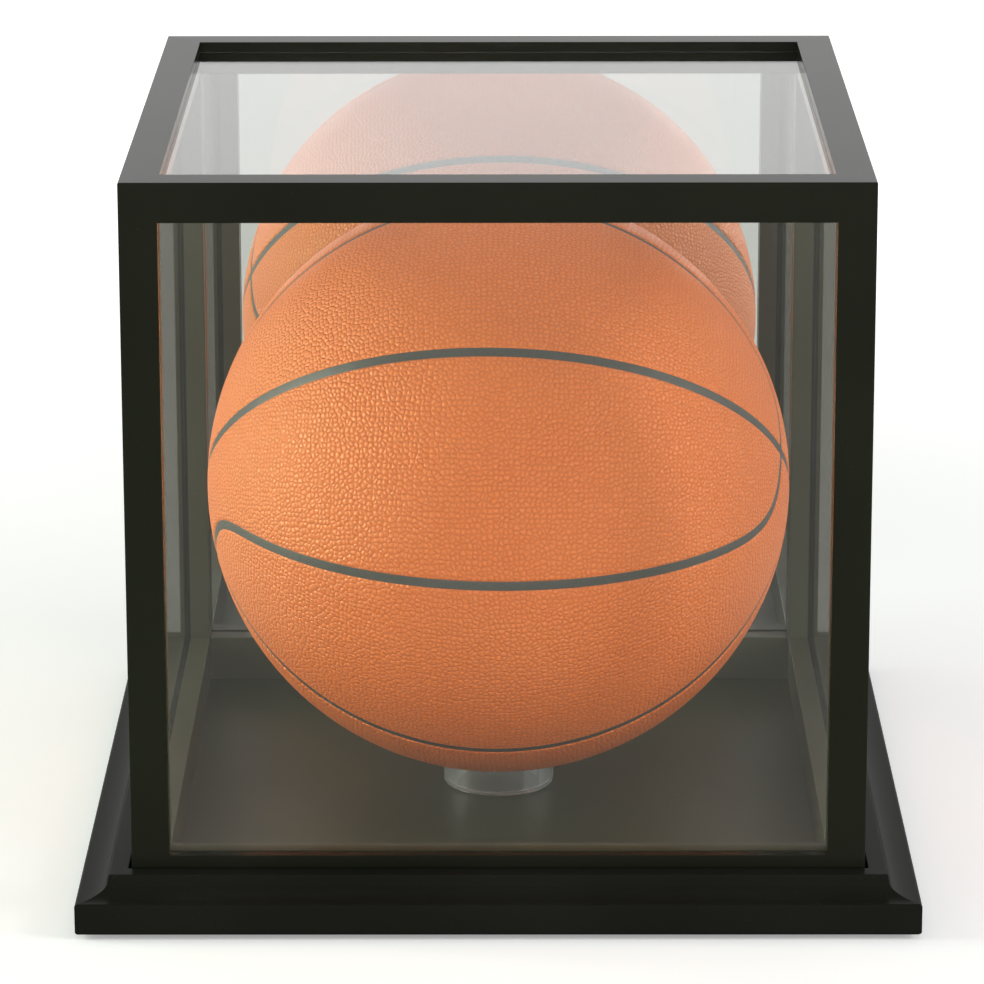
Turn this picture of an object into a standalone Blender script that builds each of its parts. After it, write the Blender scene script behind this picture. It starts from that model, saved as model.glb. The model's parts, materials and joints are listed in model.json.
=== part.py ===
"""Display case for a basketball.

A hardwood cover frame, glazed on four sides and with a mirror at the back, stands in a moulded
wooden base. A leather basketball rests inside on a clear ring.

Lengths are in metres and +Z is up. The front faces -Y, and the origin is on the ground under the
middle of the base.
"""
import math

import bmesh
import bpy
from mathutils import Matrix, Vector

# Ball, and the room left round it inside the cover
BALL_RADIUS = 0.120
SIDE_ROOM = 0.0170
DEPTH_ROOM = 0.0170
HEAD_ROOM = 0.0323

# Cover frame: square posts, and rails whose lower set is taller since its foot is sunk in the base
INNER_LIP = 0.0085
TOP_RAIL_HEIGHT = 0.0155
FOOT_RAIL_HEIGHT = 0.0195
ARRIS = 0.0006
DOWEL_RADIUS = 0.003
DOWEL_LENGTH = 0.020

# Glazing: panes stand in grooves, their outer faces set back from the frame's faces
PANE_THICKNESS = 0.002
PANE_RECESS = 0.0043
GROOVE_DEPTH = 0.003
BACKING_THICKNESS = 0.002

# Base: moulding round a sunk floor that the cover drops into
BASE_PROJECTION = 0.0209
COVER_SINK = 0.01465
COVER_CLEARANCE = 0.001
TOP_FLAT = 0.0084
STEP_DROP = 0.0029
STEP_LEAN = 0.0004
COVE_DROP = 0.0048
BAND_ROUND = 0.0011
FOOT_ROUND = 0.002
FLOOR_THICKNESS = 0.0045
FLOOR_SETBACK = 0.0011
REBATE_WIDTH = 0.009
PAD_RADIUS = 0.005
PAD_THICKNESS = 0.0012
PAD_INSET = 0.0107

# Floor screws: countersunk, driven up into the moulding
SCREW_SPACING = 0.200
SCREW_LENGTH = 0.014
SCREW_HEAD_RADIUS = 0.0028
SCREW_HEAD_HEIGHT = 0.0018
SCREW_LAND = 0.0003
SCREW_CORE_RADIUS = 0.0011
SCREW_THREAD_RADIUS = 0.0015
SCREW_TIP_LENGTH = 0.003
THREAD_PITCH = 0.0018
RECESS_LENGTH = 0.0032
RECESS_WIDTH = 0.0006
RECESS_DEPTH = 0.001

# Clear ring under the ball
RING_RADIUS = 0.023
RING_WALL = 0.006
RING_SEAT_HEIGHT = 0.0115
RING_CHAMFER = 0.0008
RING_RIM = 0.0014

# Ball's make: leather panels glued on a hollow rubber carcass
PANEL_THICKNESS = 0.0014
CARCASS_WALL = 0.0035
SEAM_WIDTH = 0.0040
SEAM_CROSSING_ANGLE = math.radians(74.5)
SEAM_SPREAD_ANGLE = math.radians(45.0)
SEAM_END_POWER = 16.0
SEAM_SIDE_POWER = 2.0
BALL_TURN_ANGLE = math.radians(-1.2)
BALL_TILT_ANGLE = math.radians(-0.5)
BALL_ROLL_ANGLE = math.radians(41.2)
VALVE_RADIUS = 0.0032
VALVE_LENGTH = 0.009
VALVE_BORE_RADIUS = 0.0008
VALVE_BORE_DEPTH = 0.006
VALVE_LATITUDE_ANGLE = math.radians(20.0)
VALVE_LONGITUDE_ANGLE = math.radians(210.0)

# Fits
SEAT_GAP = 0.0003
GLAZING_GAP = 0.0003
JOINT_GAP = 0.0003
WELD_DISTANCE = 0.00001
OVERRUN = 0.002

# Counts of facets
ARC_STEPS = 5
COVE_STEPS = 7
ARRIS_SEGMENTS = 2
DOWEL_FACETS = 12
SCREW_FACETS = 10
PAD_FACETS = 20
RING_FACETS = 40
SPHERE_SEGMENTS = 36
SPHERE_RINGS = 18
HOLLOW_SEGMENTS = 20
HOLLOW_RINGS = 10
SEAM_POINTS = 48
CURVED_SEAM_POINTS = 84
SAMPLES_PER_BEND = 400

# Sections of the wooden pieces
MEMBER = PANE_RECESS + PANE_THICKNESS + INNER_LIP
BASE_HEIGHT = COVER_SINK + SEAT_GAP + FLOOR_THICKNESS + FLOOR_SETBACK

# Heights above the ground
BASE_FOOT = PAD_THICKNESS + SEAT_GAP
BASE_TOP = BASE_FOOT + BASE_HEIGHT
COVER_FOOT = BASE_TOP - COVER_SINK
FLOOR_TOP = COVER_FOOT - SEAT_GAP
RING_FOOT = FLOOR_TOP + SEAT_GAP
RING_BORE_RADIUS = RING_RADIUS - RING_WALL
SEAT_RADIUS = (RING_RADIUS + RING_BORE_RADIUS) / 2
BALL_CENTRE = RING_FOOT + RING_SEAT_HEIGHT + SEAT_GAP + math.sqrt(BALL_RADIUS ** 2 - SEAT_RADIUS ** 2)
COVER_TOP = BALL_CENTRE + BALL_RADIUS + HEAD_ROOM + PANE_THICKNESS + PANE_RECESS

# Outer size of the cover
COVER_WIDTH = 2 * (BALL_RADIUS + SIDE_ROOM + PANE_THICKNESS + PANE_RECESS)
COVER_DEPTH = 2 * (BALL_RADIUS + DEPTH_ROOM + PANE_THICKNESS + PANE_RECESS)
COVER_HEIGHT = COVER_TOP - COVER_FOOT

QUARTER_TURN = math.pi / 2
FULL_TURN = math.tau
SMOOTH_ANGLE = math.radians(40.0)
SEAM_BENDS = 4
SIDE_TURNS = {"front": 0, "right": 1, "back": 2, "left": 3}
# Each corner's quarter turns, and the sides that its two outer faces belong to
CORNERS = {
    "front_left": (0, "front", "left"),
    "front_right": (1, "right", "front"),
    "back_right": (2, "back", "right"),
    "back_left": (3, "left", "back"),
}


def clear_scene():
    """Removes every object of the scene."""
    for old in list(bpy.data.objects):
        bpy.data.objects.remove(old, do_unlink=True)


def new_collection(name):
    """Returns a new collection linked to the scene."""
    collection = bpy.data.collections.new(name)
    bpy.context.scene.collection.children.link(collection)
    return collection


def new_material(name, colour, roughness, metallic=0.0, transmission=0.0, ior=1.5):
    """Returns a Principled material with plain values."""
    material = bpy.data.materials.new(name)
    material.use_nodes = True
    surface = material.node_tree.nodes["Principled BSDF"]
    surface.inputs["Base Color"].default_value = (*colour, 1.0)
    surface.inputs["Roughness"].default_value = roughness
    surface.inputs["Metallic"].default_value = metallic
    surface.inputs["Transmission Weight"].default_value = transmission
    surface.inputs["IOR"].default_value = ior
    material.diffuse_color = (*colour, 1.0)
    return material


clear_scene()
PARTS = new_collection("basketball_display_case")
CUTTERS = new_collection("cutters")

LACQUER = new_material("black_lacquered_wood", (0.012, 0.012, 0.010), 0.35)
FLOOR_LACQUER = new_material("black_lacquered_floor", (0.014, 0.013, 0.011), 0.22)
DOWEL_WOOD = new_material("beech_dowel", (0.62, 0.44, 0.27), 0.6)
GLASS = new_material("clear_glass", (0.95, 0.98, 0.97), 0.0, transmission=1.0, ior=1.52)
MIRROR = new_material("silvered_glass", (0.86, 0.88, 0.87), 0.02, metallic=1.0)
BACKING = new_material("black_backing_board", (0.02, 0.02, 0.02), 0.7)
FELT = new_material("black_felt", (0.015, 0.015, 0.015), 0.95)
STEEL = new_material("blackened_steel", (0.09, 0.09, 0.095), 0.4, metallic=1.0)
ACRYLIC = new_material("clear_acrylic", (0.97, 0.98, 0.98), 0.02, transmission=1.0, ior=1.49)
LEATHER = new_material("orange_leather", (0.62, 0.20, 0.075), 0.5)
SEAM_RUBBER = new_material("dark_grey_rubber", (0.07, 0.07, 0.068), 0.6)
VALVE_RUBBER = new_material("black_valve_rubber", (0.02, 0.02, 0.02), 0.6)


def new_empty(name, location, parent=None):
    """Returns an empty at a world location."""
    empty = bpy.data.objects.new(name, None)
    PARTS.objects.link(empty)
    empty.location = location
    if parent is not None:
        empty.parent = parent
        empty.location = Vector(location) - parent.location
    return empty


def add_piece(name, mesh, matrix, material, parent):
    """Adds a mesh as a named piece at a world matrix, under an unturned empty."""
    piece = bpy.data.objects.new(name, mesh)
    PARTS.objects.link(piece)
    if not mesh.materials:
        mesh.materials.append(material)
    piece.parent = parent
    origin = Matrix.Translation(world_location(parent))
    piece.matrix_basis = origin.inverted() @ matrix
    return piece


def world_location(empty):
    """Returns an unturned empty's place in the world."""
    if empty.parent is None:
        return empty.location.copy()
    return empty.location + world_location(empty.parent)


def add_cutter(name, mesh, matrix):
    """Adds a mesh as a hidden cutter at a world matrix."""
    cutter = bpy.data.objects.new(name, mesh)
    CUTTERS.objects.link(cutter)
    cutter.hide_render = True
    cutter.display_type = "WIRE"
    cutter.matrix_basis = matrix
    return cutter


def cut(piece, cutter):
    """Cuts a piece with another object."""
    boolean = piece.modifiers.new(cutter.name, "BOOLEAN")
    boolean.operation = "DIFFERENCE"
    boolean.solver = "EXACT"
    boolean.object = cutter


def finish_bmesh(name, bm):
    """Writes a bmesh to a new mesh."""
    mesh = bpy.data.meshes.new(name)
    bm.to_mesh(mesh)
    bm.free()
    return mesh


def box_mesh(name, low, high, soft_edges=None, turn=0.0):
    """Returns a box between two corners.

    soft_edges tells from an edge's two ends whether it is rounded, and turn rotates the box
    about a vertical line through its middle.
    """
    low = Vector(low)
    high = Vector(high)
    size = high - low
    middle = Matrix.Translation((low + high) / 2)
    bm = bmesh.new()
    scale = Matrix.Diagonal((*size, 1.0))
    bmesh.ops.create_cube(bm, size=1.0, matrix=middle @ Matrix.Rotation(turn, 4, "Z") @ scale)
    if soft_edges is not None:
        edges = [edge for edge in bm.edges if soft_edges(edge.verts[0].co, edge.verts[1].co)]
        bmesh.ops.bevel(bm, geom=edges, offset=ARRIS, offset_type="OFFSET", segments=ARRIS_SEGMENTS,
                        profile=0.5, affect="EDGES", clamp_overlap=True)
    return finish_bmesh(name, bm)


def cylinder_mesh(name, radius, low, high, facets):
    """Returns an upright cylinder between two heights, shaded smooth round its side."""
    bm = bmesh.new()
    middle = Matrix.Translation((0, 0, (low + high) / 2))
    bmesh.ops.create_cone(bm, cap_ends=True, segments=facets, radius1=radius, radius2=radius,
                          depth=high - low, matrix=middle)
    mesh = finish_bmesh(name, bm)
    mesh.shade_smooth()
    mesh.set_sharp_from_angle(angle=SMOOTH_ANGLE)
    return mesh


def profile_mesh(name, profile, closed):
    """Returns a turning's profile, (radius, height) points that run down its outside."""
    mesh = bpy.data.meshes.new(name)
    edges = [(index, index + 1) for index in range(len(profile) - 1)]
    if closed:
        edges.append((len(profile) - 1, 0))
    mesh.from_pydata([(radius, 0, height) for radius, height in profile], edges, [])
    return mesh


def turn_about_z(item, facets):
    """Turns an object's profile about its Z axis."""
    screw = item.modifiers.new("turn", "SCREW")
    screw.axis = "Z"
    screw.angle = FULL_TURN
    screw.steps = facets
    screw.render_steps = facets
    screw.use_merge_vertices = True
    screw.merge_threshold = WELD_DISTANCE
    screw.use_smooth_shade = True


def baked_mesh(source):
    """Returns an object's evaluated mesh, welded, in the object's own coordinates."""
    bpy.context.view_layer.update()
    evaluated = source.evaluated_get(bpy.context.evaluated_depsgraph_get())
    mesh = bpy.data.meshes.new_from_object(evaluated)
    bm = bmesh.new()
    bm.from_mesh(mesh)
    bmesh.ops.remove_doubles(bm, verts=bm.verts, dist=WELD_DISTANCE)
    bm.to_mesh(mesh)
    bm.free()
    return mesh


def curve_mesh(name, points, closed_flat=False, half_length=0.0, radius=0.0):
    """Returns the mesh of a closed line: a filled prism along Z, or a tube of the given radius."""
    curve = bpy.data.curves.new(name, "CURVE")
    spline = curve.splines.new("POLY")
    spline.points.add(len(points) - 1)
    for point, place in zip(spline.points, points):
        point.co = (*place, 1.0)
    spline.use_cyclic_u = True
    if closed_flat:
        curve.dimensions = "2D"
        curve.fill_mode = "BOTH"
        curve.extrude = half_length
    else:
        curve.dimensions = "3D"
        curve.bevel_depth = radius
        curve.bevel_resolution = 1
    source = bpy.data.objects.new(name, curve)
    CUTTERS.objects.link(source)
    mesh = baked_mesh(source)
    bpy.data.objects.remove(source, do_unlink=True)
    mesh.name = name
    return mesh


def arc(centre, radii, start, end, steps):
    """Returns points on an elliptic arc from one angle to another, both ends included."""
    points = []
    for step in range(steps + 1):
        angle = start + (end - start) * step / steps
        points.append((centre[0] + radii[0] * math.cos(angle), centre[1] + radii[1] * math.sin(angle)))
    return points


def side_size(side, width, depth):
    """Returns a side's length, and how far its outer face lies from the middle."""
    if side in ("front", "back"):
        return width, depth / 2
    return depth, width / 2


def side_matrix(side, offset, height):
    """Returns the frame of a side: X along it, Y inward from its outer face, Z up."""
    turn = Matrix.Rotation(SIDE_TURNS[side] * QUARTER_TURN, 4, "Z")
    return turn @ Matrix.Translation((0, -offset, height))


def corner_matrix(corner, inset, height):
    """Returns the frame of a corner of the cover: X and Y run inward from its two outer faces."""
    x = COVER_WIDTH / 2 - inset
    y = COVER_DEPTH / 2 - inset
    sign_x = 1 if "right" in corner else -1
    sign_y = 1 if "back" in corner else -1
    turn = Matrix.Rotation(CORNERS[corner][0] * QUARTER_TURN, 4, "Z")
    return Matrix.Translation((sign_x * x, sign_y * y, height)) @ turn


def cut_mitres(piece, name, length, width, height, matrix):
    """Cuts both ends of a side piece at 45 degrees, with half a joint gap at each."""
    reach = 2 * width + OVERRUN
    for end in (-1, 1):
        face = Vector((end * (length / 2 - width / 2), width / 2, 0))
        outward = Vector((end, 1, 0)).normalized()
        middle = face + outward * (reach / 2 - JOINT_GAP / 2)
        half = Vector((reach / 2, reach / 2, 0))
        low = middle - half - Vector((0, 0, OVERRUN))
        high = middle + half + Vector((0, 0, height + OVERRUN))
        mesh = box_mesh(name + "_mitre", low, high, turn=QUARTER_TURN / 2)
        cut(piece, add_cutter(f"{name}_mitre_{end}", mesh, matrix))


def groove_span(side):
    """Returns how far a side's glazing groove starts and ends from the frame's outer face."""
    start = PANE_RECESS - GLAZING_GAP
    if side == "back":
        start -= BACKING_THICKNESS + GLAZING_GAP
    return start, PANE_RECESS + PANE_THICKNESS + GLAZING_GAP


def dowel_cutter(name, x, y, low, high, matrix):
    """Adds the cutter of a dowel's hole."""
    mesh = cylinder_mesh(name, DOWEL_RADIUS + JOINT_GAP, low, high, DOWEL_FACETS)
    return add_cutter(name, mesh, matrix @ Matrix.Translation((x, y, 0)))


def soft_rail_edge(first, second):
    """Tells whether an edge of a rail is rounded: the long ones and the outer upright ones."""
    along = abs(first.x - second.x) > abs(first.z - second.z) + abs(first.y - second.y)
    upright = abs(first.z - second.z) > abs(first.x - second.x) + abs(first.y - second.y)
    outer = first.y < WELD_DISTANCE
    return along or (upright and outer)


def soft_post_edge(first, second):
    """Tells whether an edge of a post is rounded: the upright ones."""
    return abs(first.z - second.z) > abs(first.x - second.x) + abs(first.y - second.y)


def add_rail(side, level, parent):
    """Adds a rail of the cover's top or bottom frame, mitred, grooved and drilled."""
    name = f"{level}_rail_{side}"
    length, offset = side_size(side, COVER_WIDTH, COVER_DEPTH)
    height = FOOT_RAIL_HEIGHT if level == "bottom" else TOP_RAIL_HEIGHT
    foot = COVER_FOOT if level == "bottom" else COVER_TOP - height
    matrix = side_matrix(side, offset, foot)
    mesh = box_mesh(name, (-length / 2, 0, 0), (length / 2, MEMBER, height), soft_rail_edge)
    rail = add_piece(name, mesh, matrix, LACQUER, parent)
    cut_mitres(rail, name, length, MEMBER, height, matrix)
    start, end = groove_span(side)
    if level == "bottom":
        low, high = height - GROOVE_DEPTH, height + OVERRUN
        hole_low, hole_high = height - DOWEL_LENGTH / 2 - JOINT_GAP, height + OVERRUN
    else:
        low, high = -OVERRUN, GROOVE_DEPTH
        hole_low, hole_high = -OVERRUN, DOWEL_LENGTH / 2 + JOINT_GAP
    groove = box_mesh(name + "_groove", (-length, start, low), (length, end, high))
    cut(rail, add_cutter(name + "_groove", groove, matrix))
    if level == "top":
        lid_top = height - PANE_RECESS + GLAZING_GAP
        lid_foot = height - PANE_RECESS - PANE_THICKNESS - GLAZING_GAP
        groove = box_mesh(name + "_lid_groove", (-length, MEMBER - GROOVE_DEPTH, lid_foot),
                          (length, MEMBER + OVERRUN, lid_top))
        cut(rail, add_cutter(name + "_lid_groove", groove, matrix))
    for end_sign in (-1, 1):
        x = end_sign * (length / 2 - MEMBER / 2)
        hole = dowel_cutter(f"{name}_hole_{end_sign}", x, MEMBER / 2, hole_low, hole_high, matrix)
        cut(rail, hole)
    return rail


def add_post(corner, parent):
    """Adds a corner post, grooved for its two panes and drilled at both ends."""
    name = f"post_{corner}"
    foot = COVER_FOOT + FOOT_RAIL_HEIGHT + JOINT_GAP
    height = COVER_HEIGHT - FOOT_RAIL_HEIGHT - TOP_RAIL_HEIGHT - 2 * JOINT_GAP
    matrix = corner_matrix(corner, 0, foot)
    mesh = box_mesh(name, (0, 0, 0), (MEMBER, MEMBER, height), soft_post_edge)
    post = add_piece(name, mesh, matrix, LACQUER, parent)
    _, y_side, x_side = CORNERS[corner]
    start, end = groove_span(y_side)
    groove = box_mesh(name + "_groove", (MEMBER - GROOVE_DEPTH, start, -OVERRUN),
                      (MEMBER + OVERRUN, end, height + OVERRUN))
    cut(post, add_cutter(name + "_groove_y", groove, matrix))
    start, end = groove_span(x_side)
    groove = box_mesh(name + "_groove", (start, MEMBER - GROOVE_DEPTH, -OVERRUN),
                      (end, MEMBER + OVERRUN, height + OVERRUN))
    cut(post, add_cutter(name + "_groove_x", groove, matrix))
    depth = DOWEL_LENGTH / 2 + JOINT_GAP
    for label, low, high in (("foot", -OVERRUN, depth), ("head", height - depth, height + OVERRUN)):
        cut(post, dowel_cutter(f"{name}_hole_{label}", MEMBER / 2, MEMBER / 2, low, high, matrix))
    return post


def add_dowels(corner, parent):
    """Adds the two dowels that join a corner post to the rails under and over it."""
    inset = MEMBER / 2
    joints = {"lower": COVER_FOOT + FOOT_RAIL_HEIGHT, "upper": COVER_TOP - TOP_RAIL_HEIGHT}
    for label, height in joints.items():
        name = f"dowel_{label}_{corner}"
        mesh = cylinder_mesh(name, DOWEL_RADIUS, -DOWEL_LENGTH / 2, DOWEL_LENGTH / 2, DOWEL_FACETS)
        add_piece(name, mesh, corner_matrix(corner, inset, height), DOWEL_WOOD, parent)


def pane_insert():
    """Returns how far a pane's edge stands in its groove."""
    return GROOVE_DEPTH - GLAZING_GAP


def add_upright_pane(name, side, recess, thickness, material, parent):
    """Adds a pane, the mirror or its backing, set back from a side's outer face."""
    length, offset = side_size(side, COVER_WIDTH, COVER_DEPTH)
    half = length / 2 - MEMBER + pane_insert()
    low = FOOT_RAIL_HEIGHT - pane_insert()
    high = COVER_HEIGHT - TOP_RAIL_HEIGHT + pane_insert()
    mesh = box_mesh(name, (-half, recess, low), (half, recess + thickness, high))
    add_piece(name, mesh, side_matrix(side, offset, COVER_FOOT), material, parent)


def add_top_pane(parent):
    """Adds the pane that closes the cover's top."""
    half_width = COVER_WIDTH / 2 - MEMBER + pane_insert()
    half_depth = COVER_DEPTH / 2 - MEMBER + pane_insert()
    low = (-half_width, -half_depth, -PANE_RECESS - PANE_THICKNESS)
    mesh = box_mesh("pane_top", low, (half_width, half_depth, -PANE_RECESS))
    add_piece("pane_top", mesh, Matrix.Translation((0, 0, COVER_TOP)), GLASS, parent)


def add_cover(parent):
    """Adds the glazed cover."""
    for side in SIDE_TURNS:
        add_rail(side, "bottom", parent)
        add_rail(side, "top", parent)
    for corner in CORNERS:
        add_post(corner, parent)
        add_dowels(corner, parent)
    for side in ("front", "left", "right"):
        add_upright_pane(f"pane_{side}", side, PANE_RECESS, PANE_THICKNESS, GLASS, parent)
    add_upright_pane("mirror", "back", PANE_RECESS, PANE_THICKNESS, MIRROR, parent)
    backing_recess = PANE_RECESS - GLAZING_GAP - BACKING_THICKNESS
    add_upright_pane("mirror_backing", "back", backing_recess, BACKING_THICKNESS, BACKING, parent)
    add_top_pane(parent)


def moulding_width():
    """Returns the moulding's width, from its outer face to the lip round the cover."""
    return BASE_PROJECTION - COVER_CLEARANCE


def moulding_outline():
    """Returns the moulding's section as (distance inward, height) points."""
    lip = moulding_width()
    flat_end = BASE_PROJECTION - TOP_FLAT
    step_foot = BASE_HEIGHT - STEP_DROP
    band_top = step_foot - COVE_DROP
    rebate = lip - REBATE_WIDTH
    ceiling = FLOOR_TOP - BASE_FOOT + SEAT_GAP
    cove_reach = flat_end - STEP_LEAN - BAND_ROUND
    outline = arc((FOOT_ROUND, FOOT_ROUND), (-FOOT_ROUND, -FOOT_ROUND), QUARTER_TURN, 0, ARC_STEPS)
    band_centre = (BAND_ROUND, band_top - BAND_ROUND)
    outline += arc(band_centre, (-BAND_ROUND, BAND_ROUND), 0, QUARTER_TURN, ARC_STEPS)
    outline += arc((BAND_ROUND, step_foot), (cove_reach, -COVE_DROP), QUARTER_TURN, 0, COVE_STEPS)[1:]
    arris_height = BASE_HEIGHT - ARRIS
    outline += arc((flat_end + ARRIS, arris_height), (-ARRIS, ARRIS), 0, QUARTER_TURN, ARRIS_SEGMENTS)
    outline += arc((lip - ARRIS, arris_height), (ARRIS, ARRIS), QUARTER_TURN, 0, ARRIS_SEGMENTS)
    outline += [(lip, ceiling), (rebate, ceiling), (rebate, 0)]
    return outline


def add_moulding(side, parent):
    """Adds one mitred length of the base's moulding."""
    name = f"base_moulding_{side}"
    width = COVER_WIDTH + 2 * BASE_PROJECTION
    depth = COVER_DEPTH + 2 * BASE_PROJECTION
    length, offset = side_size(side, width, depth)
    matrix = side_matrix(side, offset, BASE_FOOT)
    outline = [(inward, height, 0) for inward, height in moulding_outline()]
    mesh = curve_mesh(name, outline, closed_flat=True, half_length=length / 2)
    # The section's first axis points inward, its second up, and its length runs along the side
    mesh.transform(Matrix(((0, 0, 1, 0), (1, 0, 0, 0), (0, 1, 0, 0), (0, 0, 0, 1))))
    mesh.shade_smooth()
    mesh.set_sharp_from_angle(angle=SMOOTH_ANGLE)
    moulding = add_piece(name, mesh, matrix, LACQUER, parent)
    cut_mitres(moulding, name, length, moulding_width(), BASE_HEIGHT, matrix)
    for number, x in enumerate(screw_places()):
        y = moulding_width() - REBATE_WIDTH / 2
        top = FLOOR_TOP - FLOOR_THICKNESS - BASE_FOOT + SCREW_LENGTH + SEAT_GAP
        mesh = cylinder_mesh(name + "_pilot", SCREW_THREAD_RADIUS + SEAT_GAP, 0, top, SCREW_FACETS)
        pilot = add_cutter(f"{name}_pilot_{number}", mesh, matrix @ Matrix.Translation((x, y, 0)))
        cut(moulding, pilot)


def screw_places():
    """Returns where the floor screws of one side lie along it."""
    return (-SCREW_SPACING / 2, SCREW_SPACING / 2)


def screw_matrices():
    """Returns a name and a world matrix for each floor screw, at the floor's underside."""
    matrices = []
    for side in SIDE_TURNS:
        _, offset = side_size(side, COVER_WIDTH, COVER_DEPTH)
        line = offset + COVER_CLEARANCE + REBATE_WIDTH / 2
        frame = side_matrix(side, line, FLOOR_TOP - FLOOR_THICKNESS)
        for number, x in enumerate(screw_places()):
            matrices.append((f"{side}_{number + 1}", frame @ Matrix.Translation((x, 0, 0))))
    return matrices


def countersink_profile(grow):
    """Returns a countersunk head's profile, grown by a clearance, from its neck down."""
    neck = (SCREW_THREAD_RADIUS + grow, SCREW_HEAD_HEIGHT + grow)
    return [neck, (SCREW_HEAD_RADIUS + grow, SCREW_LAND)]


def add_floor(parent):
    """Adds the sunk floor panel with its countersunk holes."""
    half_width = COVER_WIDTH / 2 + COVER_CLEARANCE + REBATE_WIDTH - SEAT_GAP
    half_depth = COVER_DEPTH / 2 + COVER_CLEARANCE + REBATE_WIDTH - SEAT_GAP
    mesh = box_mesh("base_floor", (-half_width, -half_depth, -FLOOR_THICKNESS), (half_width, half_depth, 0))
    floor = add_piece("base_floor", mesh, Matrix.Translation((0, 0, FLOOR_TOP)), FLOOR_LACQUER, parent)
    neck, rim = countersink_profile(SEAT_GAP)
    profile = [(0, FLOOR_THICKNESS + OVERRUN), (neck[0], FLOOR_THICKNESS + OVERRUN), neck, rim,
               (rim[0], -OVERRUN), (0, -OVERRUN)]
    for label, matrix in screw_matrices():
        name = f"countersink_{label}"
        sink = add_cutter(name, profile_mesh(name, profile, closed=False), matrix)
        turn_about_z(sink, SCREW_FACETS)
        cut(floor, sink)


def screw_profile():
    """Returns a floor screw's profile from its tip down to its head."""
    neck, rim = countersink_profile(0)
    thread_top = SCREW_LENGTH - SCREW_TIP_LENGTH
    profile = [(0, SCREW_LENGTH), (SCREW_CORE_RADIUS, thread_top)]
    turns = int((thread_top - FLOOR_THICKNESS) / THREAD_PITCH)
    for turn in range(turns):
        height = thread_top - turn * THREAD_PITCH
        profile.append((SCREW_THREAD_RADIUS, height - THREAD_PITCH / 2))
        profile.append((SCREW_CORE_RADIUS, height - THREAD_PITCH))
    profile.append((SCREW_THREAD_RADIUS, thread_top - turns * THREAD_PITCH - THREAD_PITCH / 2))
    profile += [neck, rim, (SCREW_HEAD_RADIUS, 0), (0, 0)]
    return profile


def add_screws(parent):
    """Adds the countersunk screws that hold the floor, each with a cross recess."""
    for label, matrix in screw_matrices():
        name = f"floor_screw_{label}"
        mesh = profile_mesh(name, screw_profile(), closed=False)
        screw = add_piece(name, mesh, matrix, STEEL, parent)
        turn_about_z(screw, SCREW_FACETS)
        for blade in range(2):
            x, y = RECESS_LENGTH / 2, RECESS_WIDTH / 2
            mesh = box_mesh(name + "_recess", (-x, -y, -OVERRUN), (x, y, RECESS_DEPTH))
            turned = matrix @ Matrix.Rotation(blade * QUARTER_TURN, 4, "Z")
            cut(screw, add_cutter(f"{name}_recess_{blade}", mesh, turned))


def add_pads(parent):
    """Adds the felt pads under the base's corners."""
    for corner in CORNERS:
        name = f"felt_pad_{corner}"
        mesh = cylinder_mesh(name, PAD_RADIUS, 0, PAD_THICKNESS, PAD_FACETS)
        add_piece(name, mesh, corner_matrix(corner, PAD_INSET - BASE_PROJECTION, 0), FELT, parent)


def add_ring(parent):
    """Adds the clear ring whose dished top follows the ball."""
    centre = BALL_CENTRE - RING_FOOT
    seat_sphere = BALL_RADIUS + SEAT_GAP
    seat_outer = RING_RADIUS - RING_RIM
    seat_inner = RING_BORE_RADIUS + RING_CHAMFER

    def seat_height(radius):
        return centre - math.sqrt(seat_sphere ** 2 - radius ** 2)

    rim_top = seat_height(seat_outer)
    profile = [(RING_RADIUS - RING_RIM / 2, rim_top), (RING_RADIUS, rim_top - RING_RIM / 2)]
    profile += [(RING_RADIUS, RING_CHAMFER), (RING_RADIUS - RING_CHAMFER, 0)]
    profile += [(RING_BORE_RADIUS + RING_CHAMFER, 0), (RING_BORE_RADIUS, RING_CHAMFER)]
    profile.append((RING_BORE_RADIUS, seat_height(seat_inner) - RING_CHAMFER))
    profile.append((seat_inner, seat_height(seat_inner)))
    profile.append((seat_outer, rim_top))
    mesh = profile_mesh("ball_ring", profile, closed=True)
    ring = add_piece("ball_ring", mesh, Matrix.Translation((0, 0, RING_FOOT)), ACRYLIC, parent)
    turn_about_z(ring, RING_FACETS)


def ball_pose():
    """Returns the ball's frame: X through the poles of its seams, -Y to its first seam circle."""
    turn = Matrix.Rotation(BALL_TURN_ANGLE, 4, "Z")
    tilt = Matrix.Rotation(-BALL_TILT_ANGLE, 4, "Y")
    roll = Matrix.Rotation(-BALL_ROLL_ANGLE, 4, "X")
    return Matrix.Translation((0, 0, BALL_CENTRE)) @ turn @ tilt @ roll


def on_ball(latitude, longitude, radius):
    """Returns a point of a sphere, with latitude towards +X and longitude from -Y towards +Z."""
    across = radius * math.cos(latitude)
    return Vector((radius * math.sin(latitude), -across * math.cos(longitude), across * math.sin(longitude)))


def great_seam(longitude, radius):
    """Returns the points of a seam that circles the ball through both poles."""
    step = FULL_TURN / SEAM_POINTS
    return [on_ball(step * index, longitude, radius) for index in range(SEAM_POINTS)]


def even_points(points, count):
    """Returns points evenly spaced along a closed line of dense points."""
    lengths = [0.0]
    for first, second in zip(points, points[1:] + points[:1]):
        lengths.append(lengths[-1] + (second - first).length)
    even = []
    index = 0
    for number in range(count):
        target = lengths[-1] * number / count
        while lengths[index + 1] < target:
            index += 1
        even.append(points[index])
    return even


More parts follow.
